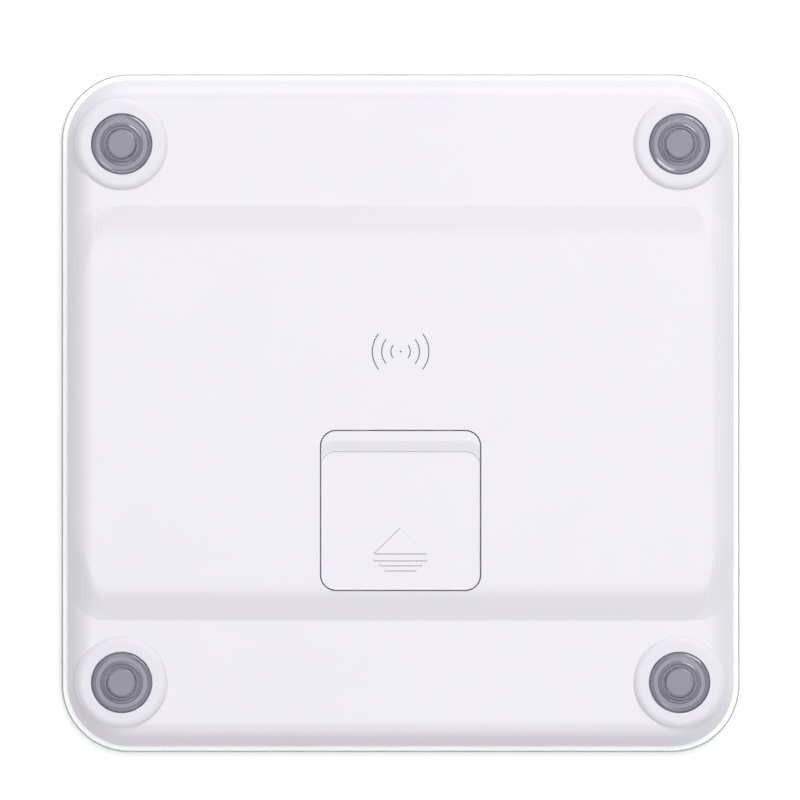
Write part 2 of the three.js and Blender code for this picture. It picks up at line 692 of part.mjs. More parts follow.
function addBatteryBay() {
  add('battery_tray', batteryTray(), innerPlastic);
  for (let i = 0; i < BATTERY_COUNT; i += 1) {
    add(`battery_cell_${i + 1}`, batteryCell(i), cellSleeve);
    add(`contact_spring_${i + 1}`, contactSpring(i), springSteel);
  }
  add('end_contact_1', contactPlate(batteryX(0), batteryX(0), 1), nickelSteel);
  add('bridge_contact_1', contactPlate(batteryX(1), batteryX(2), 1), nickelSteel);
  add('end_contact_2', contactPlate(batteryX(3), batteryX(3), 1), nickelSteel);
  add('bridge_contact_2', contactPlate(batteryX(0), batteryX(1), -1), nickelSteel);
  add('bridge_contact_3', contactPlate(batteryX(2), batteryX(3), -1), nickelSteel);
  add('battery_door', batteryDoor(), whitePlastic);
  add('door_foam', doorFoam(), greyFoam);
}

function addFeet() {
  corners().forEach(([sx, sy], index) => {
    const corner = new THREE.Group();
    corner.position.set(sx * FOOT_X, sy * FOOT_Y, 0);
    scale.add(corner);
    add(`foot_pad_${index + 1}`, footPad(), greyPlastic, corner);
    add(`foot_diaphragm_${index + 1}`, footDiaphragm(), greyRubber, corner);
    add(`load_cell_${index + 1}`, loadCell(), nickelSteel, corner);
    add(`load_cell_frame_${index + 1}`, loadCellFrame(), innerPlastic, corner);
    add(`sensor_lead_${index + 1}`, sensorLead(sx, sy), whiteSleeve);
  });
}

function addElectronics() {
  add('main_board', mainBoard(), boardLaminate);
  add('processor_blob', processorBlob(), blackEpoxy);
  add('radio_module', radioModule(), nickelSteel);
  add('battery_socket', batterySocket(), whiteSleeve);
  add('display_board', displayBoard(), boardLaminate);
  add('digit_display', digitDisplay(), displayBlack);
  add('battery_lead_red', batteryLead(1), redSleeve);
  add('battery_lead_black', batteryLead(-1), blackSleeve);
  SCREW_PLACES.forEach(([x, y], index) => {
    add(`board_screw_${index + 1}`, screwAt(x, y, BOARD_Z, 7), springSteel);
  });
  DISPLAY_SCREWS.forEach(([x, y], index) => {
    add(`display_screw_${index + 1}`, screwAt(x, y, DISPLAY_BOARD_Z, 2.9), springSteel);
  });
}

addCasings();
addBatteryBay();
addFeet();
addElectronics();

export default scale;
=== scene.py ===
import math

import bmesh
import bpy
import numpy as np
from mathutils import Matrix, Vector
from mathutils.geometry import delaunay_2d_cdt


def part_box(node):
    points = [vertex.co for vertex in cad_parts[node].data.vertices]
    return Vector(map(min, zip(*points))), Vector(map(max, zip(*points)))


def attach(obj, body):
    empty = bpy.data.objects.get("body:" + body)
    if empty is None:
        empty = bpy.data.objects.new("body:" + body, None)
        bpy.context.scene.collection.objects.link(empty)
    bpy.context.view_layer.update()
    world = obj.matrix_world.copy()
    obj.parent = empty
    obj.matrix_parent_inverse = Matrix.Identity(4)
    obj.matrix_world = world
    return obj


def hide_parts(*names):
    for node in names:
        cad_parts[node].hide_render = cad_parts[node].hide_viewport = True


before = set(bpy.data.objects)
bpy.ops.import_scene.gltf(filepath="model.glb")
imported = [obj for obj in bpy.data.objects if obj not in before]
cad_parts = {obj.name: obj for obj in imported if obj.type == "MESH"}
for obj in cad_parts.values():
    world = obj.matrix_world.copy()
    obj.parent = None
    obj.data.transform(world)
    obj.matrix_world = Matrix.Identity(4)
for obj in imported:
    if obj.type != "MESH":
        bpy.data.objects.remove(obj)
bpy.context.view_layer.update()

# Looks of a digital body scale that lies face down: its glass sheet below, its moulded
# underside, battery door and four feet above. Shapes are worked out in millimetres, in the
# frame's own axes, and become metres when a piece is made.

MM = 0.001


def box_mm(node):
    low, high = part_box(node)
    return np.array(low) / MM, np.array(high) / MM


# ---- Sizes, from the frame where a node has them

glass_high = box_mm("glass_platform")[1]
enamel_high = box_mm("enamel_layer")[1]
housing_high = box_mm("base_housing")[1]
tray_low = box_mm("battery_tray")[0]

GLASS_HALF = glass_high[0]
GLASS_CORNER = 26
GLASS_TOP_Z = glass_high[2]
GLASS_EDGE = 0.3                    # rounding of the sheet's ground edge
ENAMEL_MARGIN = 0.5                 # clear edge of glass outside the print
ENAMEL_HALF = GLASS_HALF - ENAMEL_MARGIN
ENAMEL_CORNER = GLASS_CORNER - ENAMEL_MARGIN
ENAMEL_TOP_Z = enamel_high[2]

HOUSING_HALF = housing_high[0]
HOUSING_CORNER = 24
SEAT_Z = ENAMEL_TOP_Z
WALL = 2
LIP = 2                             # width of the lip that is bonded to the glass
EDGE_ROUND = 1.2
RIM_WIDTH = 10
RIM_RADIUS = 12
END_ZONE_Z = 18.3
PLATEAU_Z = housing_high[2]
CREASE_Y = 79.2
SHOULDER_Y = 64.4
CORNER_START_X = 114                # the raised middle's corners turn in from here
CORNER_END_X = 130                  # and as far as here
CORNER_TURN = 8                     # how far they turn in
CORNER_SPREAD = 24                  # how much wider the slope is there
CREASE_BLEND = 0.35

BOSS_FACE_Z = 19.5
BOSS_FACE_R = 14.8                  # flat as far as here, then rounded down
BOSS_ROUND = 3.9
BOSS_SLOPE_R = 17.6                 # where the rounding meets the end zone
BOSS_OUTER_R = 17.8
BOSS_STEP = 0.06                    # width that its outer wall takes in a height field
RING_SLACK = 0.015                  # how far a ring of chords lies inside its circle
BOSS_SKIRT_Z = 13.6
SLOPE_SHADE_CORNER = 9                  # round ends of the painted shade on the slopes
SLOPE_SHADE_END_X = 116.7
HOLE_R = 11.7
HOLE_ROUND = 0.2

HINGE_Y = -6.8
DOOR_HALF = 30.4
DOOR_CENTRE_Y = HINGE_Y - DOOR_HALF
DOOR_CENTRE = (0, DOOR_CENTRE_Y)
DOOR_CORNER = 5.8
DOOR_GAP = 0.4
DOOR_EDGE = 0.2
DOORWAY_EDGE = 0.2
DOOR_INNER_Z = 18
DOOR_FACE_Z = 19.6
DOOR_STRIP = 3.8
DOOR_SLOPE = 4.2
DOOR_SLOPE_FOOT = 0.35              # the slope's last stretch, which is steeper
DOOR_FOOT_STEP = 0.4
DOOR_SLOPE_EASE = 0.12              # how far the slope's ends are eased
MARK_RISE = 0.26                    # the marks rise like wedges to their lower edge
MARK_START = 0.3                    # share of that rise at their upper edge
MARK_SIDE = 0.12
GROOVE_WIDTH = 0.3                  # groove along that edge
GROOVE_DEPTH = 0.4
GROOVE_SIDE = 0.08
SIDE_GROOVE = 0.2

TONGUE_X = 16                       # the door's two tongues, and its snap catch
TONGUE_HALF = 3.5
TONGUE_LOW_Z = 16.8
CATCH_HALF = 4
CATCH_LOW_Z = 15.6

BATTERY_R = 5.25
BATTERY_LENGTH = 43.7
BATTERY_NUB = 0.8
BATTERY_PITCH = 11
BATTERY_Z = 11.9
BATTERY_COUNT = 4
BAY_HALF_X = 23
BAY_HALF_Y = 25.3
BAY_CORNER = 2
CONTACT_THICKNESS = 0.4
CONTACT_DEPTH = 0.6                 # from the bay's end to the contacts' face
TRAY_HALF = 32.5
TRAY_CORNER = DOOR_CORNER + 2
TRAY_FLOOR_Z = 6.5
TRAY_LEDGE_Z = 14.4


def middle_mm(node):
    low, high = box_mm(node)
    return (low + high) / 2


FEET = [middle_mm(f"foot_pad_{i + 1}")[:2] for i in range(4)]


# ---- Outlines

def rounded_rectangle(half_x, half_y, radius, centre=(0, 0), steps=24):
    """Anticlockwise points round a rectangle with round corners."""
    points = []
    for k, (sx, sy) in enumerate(((1, -1), (1, 1), (-1, 1), (-1, -1))):
        for i in range(steps + 1):
            angle = (k - 1 + i / steps) * math.pi / 2
            points.append((
                centre[0] + sx * (half_x - radius) + radius * math.cos(angle),
                centre[1] + sy * (half_y - radius) + radius * math.sin(angle)))
    return points


def square_loop(half, corner, inset, centre=(0, 0), steps=24):
    """A rounded square, moved in by an inset or out by a negative one."""
    return rounded_rectangle(half - inset, half - inset, corner - inset, centre, steps)


def circle(centre, radius, steps=96):
    angles = [2 * math.pi * i / steps for i in range(steps)]
    return [(centre[0] + radius * math.cos(a), centre[1] + radius * math.sin(a)) for a in angles]


def inside_rounded(x, y, half_x, half_y, radius, centre=(0, 0)):
    """How far a point is inside a rounded rectangle; negative outside it."""
    past_x = np.abs(x - centre[0]) - (half_x - radius)
    past_y = np.abs(y - centre[1]) - (half_y - radius)
    outside = np.hypot(np.maximum(past_x, 0), np.maximum(past_y, 0))
    return radius - outside - np.minimum(np.maximum(past_x, past_y), 0)


def inside_polygon(x, y, points):
    """How far a point is inside a convex anticlockwise polygon; negative outside it."""
    depth = np.full(np.shape(x), np.inf)
    for (ax, ay), (bx, by) in zip(points, points[1:] + points[:1]):
        length = math.hypot(bx - ax, by - ay)
        depth = np.minimum(depth, ((bx - ax) * (y - ay) - (by - ay) * (x - ax)) / length)
    return depth


def inset_polygon(points, inset):
    """A convex anticlockwise polygon with each side moved in."""
    moved = []
    count = len(points)
    for i in range(count):
        before, here, after = (Vector(points[(i + k) % count]) for k in (-1, 0, 1))
        first = (here - before).normalized()
        second = (after - here).normalized()
        inward = Vector((-first.y, first.x)) + Vector((-second.y, second.x))
        moved.append(tuple(here + inward * inset / (1 + first.dot(second))))
    return moved


def quarter_drop(depth, radius):
    """How far a rounded edge has dropped at a distance in from its side."""
    across = np.clip(radius - depth, 0, radius)
    return radius - np.sqrt(radius ** 2 - across ** 2)


# ---- Height of the underside

def rim_drop(inset):
    across = np.maximum(0, RIM_WIDTH - inset)
    return RIM_RADIUS - np.sqrt(RIM_RADIUS ** 2 - np.minimum(across, RIM_WIDTH) ** 2)


RIM_FULL_DROP = float(rim_drop(np.array(0.0)))
EDGE_TURN = math.acos(RIM_WIDTH / RIM_RADIUS)      # from the rim's slope to the upright wall


def edge_inset(x, y):
    return inside_rounded(x, y, HOUSING_HALF, HOUSING_HALF, HOUSING_CORNER)


def corner_turn(x):
    """How far the raised middle's corners have turned in: 0 over the middle, 1 at the sides."""
    part = np.clip((np.abs(x) - CORNER_START_X) / (CORNER_END_X - CORNER_START_X), 0, 1)
    return (1 - np.cos(math.pi * part)) / 2


def slope_width(x):
    return CREASE_Y - SHOULDER_Y + CORNER_SPREAD * corner_turn(x)


def slope_line(x, part):
    """Y of a line along the slope: part is 0 at its foot, the crease, and 1 at its top."""
    return CREASE_Y - CORNER_TURN * corner_turn(x) - part * slope_width(x)


def slope_rise(part):
    """Straight for half of the slope, then easing into the raised middle."""
    eased = np.maximum(0, part - 0.5)
    return 4 / 3 * (part - eased ** 2)


def zone_height(x, y):
    in_from_crease = slope_line(x, 0) - np.abs(y)
    blended = (in_from_crease + CREASE_BLEND) ** 2 / (4 * CREASE_BLEND)
    depth = np.where(in_from_crease < CREASE_BLEND, blended, in_from_crease)
    depth = np.where(in_from_crease < -CREASE_BLEND, 0, depth)
    part = np.clip(depth / slope_width(x), 0, 1)
    return END_ZONE_Z + (PLATEAU_Z - END_ZONE_Z) * slope_rise(part)


def plain_underside(x, y):
    zone = zone_height(x, y)
    inset = np.maximum(0, edge_inset(x, y))
    height = zone - rim_drop(inset)
    round_z = zone - RIM_FULL_DROP - EDGE_ROUND * math.tan(EDGE_TURN / 2)
    reach = EDGE_ROUND * (1 - math.cos(EDGE_TURN))
    across = EDGE_ROUND - np.minimum(inset, reach)
    rounded = round_z + np.sqrt(EDGE_ROUND ** 2 - across ** 2)
    return np.where(inset < reach, rounded, height)


def foot_distance(x, y):
    distance = np.full(np.shape(x), np.inf)
    for fx, fy in FEET:
        distance = np.minimum(distance, np.hypot(x - fx, y - fy))
    return distance


def boss_height(radius):
    """A flat face round the foot's hole, rounded down towards the end zone."""
    across = np.clip(radius - BOSS_FACE_R, 0, BOSS_SLOPE_R - BOSS_FACE_R)
    drop = BOSS_ROUND - np.sqrt(BOSS_ROUND ** 2 - across ** 2)
    return BOSS_FACE_Z - drop - quarter_drop(radius - HOLE_R, HOLE_ROUND)


def underside(x, y):
    base = plain_underside(x, y)
    radius = foot_distance(x, y)
    boss = boss_height(radius)
    step = np.clip((radius - BOSS_OUTER_R) / BOSS_STEP, 0, 1)
    height = np.where(radius < BOSS_OUTER_R, boss, END_ZONE_Z + (base - END_ZONE_Z) * step)
    doorway = -doorway_depth(x, y)
    return height - quarter_drop(np.maximum(doorway, 0), DOORWAY_EDGE)


def doorway_depth(x, y):
    half = DOOR_HALF + DOOR_GAP
    return inside_rounded(x, y, half, half, DOOR_CORNER + DOOR_GAP, DOOR_CENTRE)


# ---- Meshes

def triangulate(loops, lines, keep):
    """Triangles between closed loops and open lines, as points and anticlockwise threes."""
    points, edges = [], []
    for chain, closed in [(c, True) for c in loops] + [(c, False) for c in lines]:
        first = len(points)
        points += [Vector(p) for p in chain]
        edges += [(first + i, first + i + 1) for i in range(len(chain) - 1)]
        if closed:
            edges.append((len(points) - 1, first))
    joined_within, sliver = 1e-4, 1e-7
    found, _, faces, *_ = delaunay_2d_cdt(points, edges, [], 0, joined_within)
    flat = np.array([v[:] for v in found])
    faces = np.array([tuple(f) for f in faces])
    corner = flat[faces]
    first, second = corner[:, 1] - corner[:, 0], corner[:, 2] - corner[:, 0]
    area = first[:, 0] * second[:, 1] - first[:, 1] * second[:, 0]
    faces = faces[np.abs(area) > sliver]
    middle = flat[faces].mean(1)
    faces = faces[keep(middle[:, 0], middle[:, 1])]
    used, faces = np.unique(faces, return_inverse=True)
    return flat[used], faces.reshape(-1, 3)


def surface_normals(flat, faces, height, sign):
    """A normal for each corner of each face, measured just inside that face."""
    inside, most, step = 0.002, 0.3, 0.001
    corner = flat[faces]
    side = corner - np.roll(corner, 1, axis=1)
    area = np.abs(side[:, 0, 0] * side[:, 1, 1] - side[:, 0, 1] * side[:, 1, 0])
    depth = area / np.linalg.norm(side, axis=2).max(1) / 3
    reach = np.minimum(inside / np.maximum(depth, 1e-9), most)
    place = corner + (corner.mean(1)[:, None] - corner) * reach[:, None, None]
    x, y = place[..., 0], place[..., 1]
    rise_x = (height(x + step, y) - height(x - step, y)) / (2 * step)
    rise_y = (height(x, y + step) - height(x, y - step)) / (2 * step)
    normal = np.stack([-rise_x, -rise_y, np.ones_like(rise_x)], -1)
    return sign * normal / np.linalg.norm(normal, axis=-1, keepdims=True)


def relief(name, loops, lines, keep, top, low):
    """A closed piece between two heights, with walls where its triangles end."""
    flat, faces = triangulate(loops, lines, keep)
    count = len(flat)
    x, y = flat[:, 0], flat[:, 1]
    vertices = np.vstack([np.column_stack([x, y, top(x, y)]), np.column_stack([x, y, low(x, y)])])
    sides = {}
    for a, b, c in faces.tolist():
        for edge in ((a, b), (b, c), (c, a)):
            sides[edge] = True
    rim = [(a, b) for a, b in sides if (b, a) not in sides]
    outward, joined = {}, {}
    for a, b in rim:
        along = flat[b] - flat[a]
        outward[a, b] = np.array([along[1], -along[0]]) / np.linalg.norm(along)
        joined.setdefault(a, []).append((a, b))
        joined.setdefault(b, []).append((a, b))

    def wall_normal(edge, end):
        near = [outward[e] for e in joined[end] if outward[e] @ outward[edge] > 0.8]
        mean = np.sum(near, axis=0)
        return [*(mean / np.linalg.norm(mean)), 0]

    polygons = faces.tolist() + (faces[:, ::-1] + count).tolist()
    polygons += [[a + count, b + count, b, a] for a, b in rim]
    normals = np.vstack([
        surface_normals(flat, faces, top, 1).reshape(-1, 3),
        surface_normals(flat, faces[:, ::-1], low, -1).reshape(-1, 3),
        np.array([wall_normal(e, end) for e in rim for end in (e[0], e[1], e[1], e[0])])])
    piece = built(name, vertices, polygons)
    piece.data.polygons.foreach_set("use_smooth", [True] * len(polygons))
    piece.data.normals_split_custom_set(normals.tolist())
    return piece


def built(name, vertices, faces):
    """A piece from its corners, in millimetres, and its faces."""
    mesh = bpy.data.meshes.new(name)
    mesh.from_pydata((np.array(vertices) * MM).tolist(), [], faces)
    return linked(name, mesh)


def linked(name, mesh):
    piece = bpy.data.objects.new(name, mesh)
    bpy.context.scene.collection.objects.link(piece)
    return piece


def softened(points, radius, steps=5):
    """A closed outline whose corners are rounded, each by up to the radius given."""
    radii = radius if hasattr(radius, "__len__") else [radius] * len(points)
    made = []
    count = len(points)
    for i in range(count):
        before, here, after = (Vector(points[(i + k) % count]) for k in (-1, 0, 1))
        back, on = (before - here), (after - here)
        turn = back.angle(on)
        if radii[i] <= 0 or turn > math.pi - 0.02:
            made.append(tuple(here))
            continue
        reach = min(radii[i] / math.tan(turn / 2), 0.48 * back.length, 0.48 * on.length)
        start, end = here + back.normalized() * reach, here + on.normalized() * reach
        for k in range(steps + 1):
            t = k / steps
            made.append(tuple((1 - t) ** 2 * start + 2 * t * (1 - t) * here + t ** 2 * end))
    return made


def turned(name, profile, centre, segments=128, along_y=0, parts=None):
    """Turns a closed [radius, height] outline; along_y of 1 or -1 lays it along Y."""
    vertices, faces, kinds = [], [], []
    rings = []
    for radius, height in profile:
        if radius < 1e-6:
            rings.append([len(vertices)])
            vertices.append((0, 0, height))
            continue
        rings.append(list(range(len(vertices), len(vertices) + segments)))
        for i in range(segments):
            angle = 2 * math.pi * i / segments
            vertices.append((radius * math.cos(angle), radius * math.sin(angle), height))
    for k, (first, second) in enumerate(zip(rings, rings[1:] + rings[:1])):
        if len(first) == 1 and len(second) == 1:
            continue
        for i in range(segments):
            j = (i + 1) % segments
            quad = [first[i % len(first)], first[j % len(first)],
                    second[j % len(second)], second[i % len(second)]]
            faces.append(list(dict.fromkeys(quad)))
            kinds.append(k)
    points = np.array(vertices)
    if along_y:
        points = np.column_stack([points[:, 0] * along_y, points[:, 2] * along_y, points[:, 1]])
    piece = built(name, points + np.array(centre), faces)
    if parts:
        piece.data.polygons.foreach_set("material_index", [parts[k] for k in kinds])
    return smooth(piece)


def smooth(piece, angle=35):
    """Faces turned out, and shading smooth except over sharp edges."""
    mesh = piece.data
    work = bmesh.new()
    work.from_mesh(mesh)
    bmesh.ops.recalc_face_normals(work, faces=work.faces)
    work.to_mesh(mesh)
    work.free()
    mesh.polygons.foreach_set("use_smooth", [True] * len(mesh.polygons))
    mesh.set_sharp_from_angle(angle=math.radians(angle))
    return piece


def tube(name, route, radius):
    """A round wire with domed ends along a route of points."""
    sides = 12
    path = [Vector(p) for p in route]
    vertices, faces = [], []
    side_axis = None
    rings = []
    for i, point in enumerate(path):
        ahead = (path[min(i + 1, len(path) - 1)] - path[max(i - 1, 0)]).normalized()
        if side_axis is None:
            side_axis = ahead.orthogonal().normalized()
        side_axis = (side_axis - ahead * side_axis.dot(ahead)).normalized()
        other = ahead.cross(side_axis)
        rings.append(len(vertices))
        for k in range(sides):
            angle = 2 * math.pi * k / sides
            offset = side_axis * math.cos(angle) + other * math.sin(angle)
            vertices.append(tuple((point + offset * radius)))
    for first, second in zip(rings, rings[1:]):
        for k in range(sides):
            j = (k + 1) % sides
            faces.append([first + k, first + j, second + j, second + k])
    for start, end, out in ((path[0], rings[0], path[0] - path[1]),
                            (path[-1], rings[-1], path[-1] - path[-2])):
        tip = len(vertices)
        vertices.append(tuple(start + out.normalized() * radius * 0.6))
        faces += [[end + k, end + (k + 1) % sides, tip] for k in range(sides)]
    return smooth(built(name, vertices, faces), 60)


def rounded_block(name, low, high, radius):
    """A block with rounded edges."""
    work = bmesh.new()
    bmesh.ops.create_cube(work, size=1)
    low, high = np.array(low, float), np.array(high, float)
    for vertex in work.verts:
        vertex.co = Vector(((low + high) / 2 + (high - low) * np.array(vertex.co)) * MM)
    bmesh.ops.bevel(work, geom=list(work.edges), offset=radius * MM, segments=3, profile=0.5,
                    affect="EDGES")
    mesh = bpy.data.meshes.new(name)
    work.to_mesh(mesh)
    work.free()
    return smooth(linked(name, mesh))


def merge(piece, *others):
    """Adds other pieces' meshes to a piece, and removes them."""
    with bpy.context.temp_override(active_object=piece, selected_editable_objects=[piece, *others]):
        bpy.ops.object.join()
    return piece


# ---- Materials

class Finish:
    """A material, with short ways to add the nodes that give it its look."""

    def __init__(self, name):
        self.name = name
        self.material = bpy.data.materials.new(name)
        self.material.use_nodes = True
        self.nodes = self.material.node_tree.nodes
        self.shader = self.nodes["Principled BSDF"]
        self.place = self.add("TexCoord").outputs["Object"]

    def set(self, node, inputs):
        """Gives a node's inputs values, or links to other nodes' outputs."""
        for key, value in inputs.items():
            if isinstance(value, bpy.types.NodeSocket):
                self.material.node_tree.links.new(value, node.inputs[key])
            else:
                node.inputs[key].default_value = value

    def add(self, kind, inputs=None, **settings):
        node = self.nodes.new("ShaderNode" + kind)
        for key, value in settings.items():
            setattr(node, key, value)
        self.set(node, inputs or {})
        return node

    def noise(self, size_mm, detail=3.0, stretch=None):
        """A noise whose grain has about the given size."""
        place = self.place
        if stretch:
            place = self.add("Mapping", {"Scale": stretch, "Vector": place}).outputs["Vector"]
        inputs = {"Scale": 1 / (size_mm * MM), "Detail": detail, "Vector": place}
        return self.add("TexNoise", inputs).outputs["Fac"]

    def between(self, factor, low, high):
        """A number that follows a noise, which mostly stays from 0.3 to 0.7, between two values."""
        inputs = {"From Min": 0.3, "From Max": 0.7, "To Min": low, "To Max": high, "Value": factor}
        return self.add("MapRange", inputs).outputs["Result"]

    def fade(self, source, start, end, low, high):
        """Goes smoothly from low to high while the source goes from start to end."""
        inputs = {"From Min": start, "From Max": end, "To Min": low, "To Max": high, "Value": source}
        return self.add("MapRange", inputs, interpolation_type="SMOOTHSTEP").outputs["Result"]

    def mix(self, factor, first, second):
        """A colour between two others, each of them three numbers or a node's output."""
        first, second = (c if isinstance(c, bpy.types.NodeSocket) else (*c, 1) for c in (first, second))
        inputs = {0: factor, 6: first, 7: second}      # the sockets that a colour mix uses
        return self.add("Mix", inputs, data_type="RGBA").outputs[2]

    def maths(self, operation, *sources):
        return self.add("Math", dict(enumerate(sources)), operation=operation).outputs["Value"]

    def bump(self, source, depth):
        """Relief that follows a texture, to a depth in millimetres."""
        inputs = {"Strength": 1, "Distance": depth * MM, "Height": source}
        self.set(self.shader, {"Normal": self.add("Bump", inputs).outputs["Normal"]})


def finish_of(name, colour, roughness, vary=0.012, rough_vary=0.05, grain=0.35, depth=0.003,
              stretch=None, **sockets):
    """A moulded, drawn or printed finish: broad tint, patchy gloss and fine grain."""
    finish = Finish(name)
    tint = finish.between(finish.noise(30, 2.0), 0, 1)
    fine = finish.noise(grain, 4.0, stretch)
    darker = [max(0, c * (1 - vary)) for c in colour]
    lighter = [min(1, c * (1 + vary)) for c in colour]
    finish.set(finish.shader, {
        "Base Color": finish.mix(tint, darker, lighter),
        "Roughness": finish.between(fine, roughness - rough_vary, roughness + rough_vary),
        **{key.replace("_", " "): value for key, value in sockets.items()}})
    finish.bump(fine, depth)
    return finish


def shell_finish():
    """Satin plastic, with a darker white on the slopes up to the raised middle: painted shade."""
    finish = finish_of("shell_plastic", HOUSING_WHITE, 0.36, 0.006, 0.05, 0.3, 0.002)
    split = finish.add("SeparateXYZ", {"Vector": finish.place})
    across, along = (finish.maths("ABSOLUTE", split.outputs[axis]) for axis in "XY")
    fade_in = finish.fade(along, (SHOULDER_Y - 1) * MM, (SHOULDER_Y + 7) * MM, 0, 1)
    past_x = finish.maths("SUBTRACT", across, (SLOPE_SHADE_END_X - SLOPE_SHADE_CORNER) * MM)
    past_y = finish.maths("SUBTRACT", along, (CREASE_Y - SLOPE_SHADE_CORNER) * MM)
    beyond = [finish.maths("MAXIMUM", past, 0) for past in (past_x, past_y)]
    squares = [finish.maths("MULTIPLY", past, past) for past in beyond]
    radius = finish.maths("SQRT", finish.maths("ADD", *squares))
    edge = SLOPE_SHADE_CORNER * MM
    fade_out = finish.fade(radius, edge - 0.1 * MM, edge + 0.2 * MM, 1, 0)
    # painted shade on the slopes: a darker white mixed in from the shoulder to the crease
    slope_shade = finish.maths("MULTIPLY", fade_in, fade_out)
    satin = finish.shader.inputs["Base Color"].links[0].from_socket
    finish.set(finish.shader, {"Base Color": finish.mix(slope_shade, satin, SLOPE_SHADE_WHITE)})
    return finish


def foam_finish():
    finish = Finish("grey_foam")
    cells = finish.add("TexVoronoi", {"Scale": 1 / (0.5 * MM), "Vector": finish.place})
    pore_shade = finish.between(cells.outputs["Distance"], 0, 1)
    # darker in the pores that the bump sinks: painted shade in the hollows
    colour = finish.mix(pore_shade, (0.05, 0.05, 0.055), (0.13, 0.13, 0.14))
    finish.set(finish.shader, {"Base Color": colour, "Roughness": 0.95})
    finish.bump(cells.outputs["Distance"], 0.25)
    return finish


def glass_finish():
    finish = Finish("clear_glass")
    finish.set(finish.shader, {
        "Roughness": finish.between(finish.noise(18), 0.01, 0.04),
        "Base Color": (0.86, 0.95, 0.92, 1), "Transmission Weight": 1, "IOR": 1.52})
    return finish


def ground_edge_finish():
    """The sheet's ground edge, where light that has run through the glass comes out green; its colour
    is also kept dark, as painted shade along the sheet's outline.
    """
    finish = Finish("ground_glass_edge")
    tint = finish.between(finish.noise(9), 0, 1)
    scratch = finish.noise(0.25, 5.0)
    finish.set(finish.shader, {
        # green that stands for light run through the glass, darkened as painted shade along the outline
        "Base Color": finish.mix(tint, (0.38, 0.45, 0.43), (0.46, 0.53, 0.50)),
        "Roughness": finish.between(scratch, 0.16, 0.34),
        "IOR": 1.52, "Coat Weight": 0.5, "Coat Roughness": 0.1})
    finish.bump(scratch, 0.004)
    return finish


def laminate_finish():
    """Green solder mask over a fine pattern of tracks."""
    finish = Finish("board_laminate")
    tracks = finish.add("TexBrick", {
        "Scale": 1 / (5 * MM), "Mortar Size": 0.05, "Color1": (0.012, 0.10, 0.04, 1),
        "Color2": (0.014, 0.12, 0.05, 1), "Mortar": (0.03, 0.22, 0.09, 1),
        "Vector": finish.place})
    finish.set(finish.shader, {"Base Color": tracks.outputs["Color"],
                               "Roughness": finish.between(finish.noise(1.5), 0.3, 0.5)})
    finish.bump(tracks.outputs["Fac"], 0.03)
    return finish


HOUSING_WHITE = (0.570, 0.551, 0.596)
# darker copy of the white, painted shade on the slopes
SLOPE_SHADE_WHITE = tuple(c * 0.95 for c in HOUSING_WHITE)
# slightly darker copy of the white for the foot bosses: painted shade
BOSS_SHADE_WHITE = tuple(c * 0.985 for c in HOUSING_WHITE)

# For finish_of: name, colour, roughness, share by which the tint varies, change in roughness
# along the grain, and the grain's size and depth in millimetres
FINISHES = [
    shell_finish(),
    finish_of("white_plastic", HOUSING_WHITE, 0.36, 0.006, 0.05, 0.3, 0.002),
    # the foot bosses' rougher plastic, in that darker white, which is painted shade
    finish_of("textured_plastic_painted_shade", BOSS_SHADE_WHITE, 0.5, 0.006, 0.05, 0.2, 0.003),
    finish_of("white_enamel", (0.90, 0.915, 0.905), 0.3, 0.01, 0.05, 0.5, 0.002),
    finish_of("grey_rubber", (0.172, 0.168, 0.212), 0.17, 0.03, 0.07, 0.2, 0.006),
    finish_of("grey_plastic", (0.152, 0.149, 0.190), 0.3, 0.03, 0.06, 0.15, 0.004),
    finish_of("inner_plastic", (0.66, 0.66, 0.68), 0.45, 0.02, 0.06, 0.3, 0.003),
    finish_of("smoked_film", (0.02, 0.021, 0.023), 0.2, 0.05, 0.04, 0.4, 0.001),
    finish_of("cell_sleeve", (0.045, 0.12, 0.29), 0.26, 0.04, 0.05, 0.4, 0.002, Metallic=0.25,
              Coat_Weight=0.6, Coat_Roughness=0.08),
    finish_of("cell_band", (0.72, 0.73, 0.75), 0.28, 0.03, 0.05, 0.4, 0.002, Metallic=0.8,
              Coat_Weight=0.5, Coat_Roughness=0.08),
    finish_of("nickel_steel", (0.60, 0.60, 0.58), 0.3, 0.04, 0.08, 0.25, 0.002, (1, 1, 0.15),
              Metallic=1),
    finish_of("spring_steel", (0.56, 0.56, 0.57), 0.24, 0.03, 0.06, 0.2, 0.001, Metallic=1),
    finish_of("white_sleeve", (0.76, 0.76, 0.74), 0.45, 0.02, 0.05, 0.3, 0.003),
    finish_of("red_sleeve", (0.45, 0.02, 0.015), 0.45, 0.05, 0.05, 0.3, 0.003),
    finish_of("black_sleeve", (0.012, 0.012, 0.014), 0.45, 0.05, 0.05, 0.3, 0.003),
    finish_of("black_epoxy", (0.009, 0.009, 0.011), 0.25, 0.05, 0.08, 0.8, 0.01),
    finish_of("display_black", (0.006, 0.006, 0.008), 0.15, 0.05, 0.05, 0.5, 0.001),
    finish_of("grey_print", (0.075, 0.075, 0.092), 0.5, 0.05, 0.05, 0.1, 0.003),
    foam_finish(),
    glass_finish(),
    ground_edge_finish(),
    laminate_finish(),
]
MATERIALS = {finish.name: finish.material for finish in FINISHES}


def dress(piece, body, *materials, slot=None, replaces=()):
    """Gives a piece its materials and the body it rides on, and hides the nodes that it stands for;
    slot is not used.
    """
    for name in materials:
        piece.data.materials.append(MATERIALS[name])
    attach(piece, body)
    if replaces:
        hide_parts(*replaces)
    return piece


# ---- Housing

BOARD_SCREWS = [middle_mm(f"board_screw_{i + 1}")[:2] for i in range(4)]
DISPLAY_SCREWS = [middle_mm(f"display_screw_{i + 1}")[:2] for i in range(2)]
BOARD_TOP_Z = box_mm("main_board")[1][2]
DISPLAY_TOP_Z = box_mm("display_board")[1][2]
POST_R = 2.6
POST_HOLE_R = 1.4
POST_STEP = 0.05


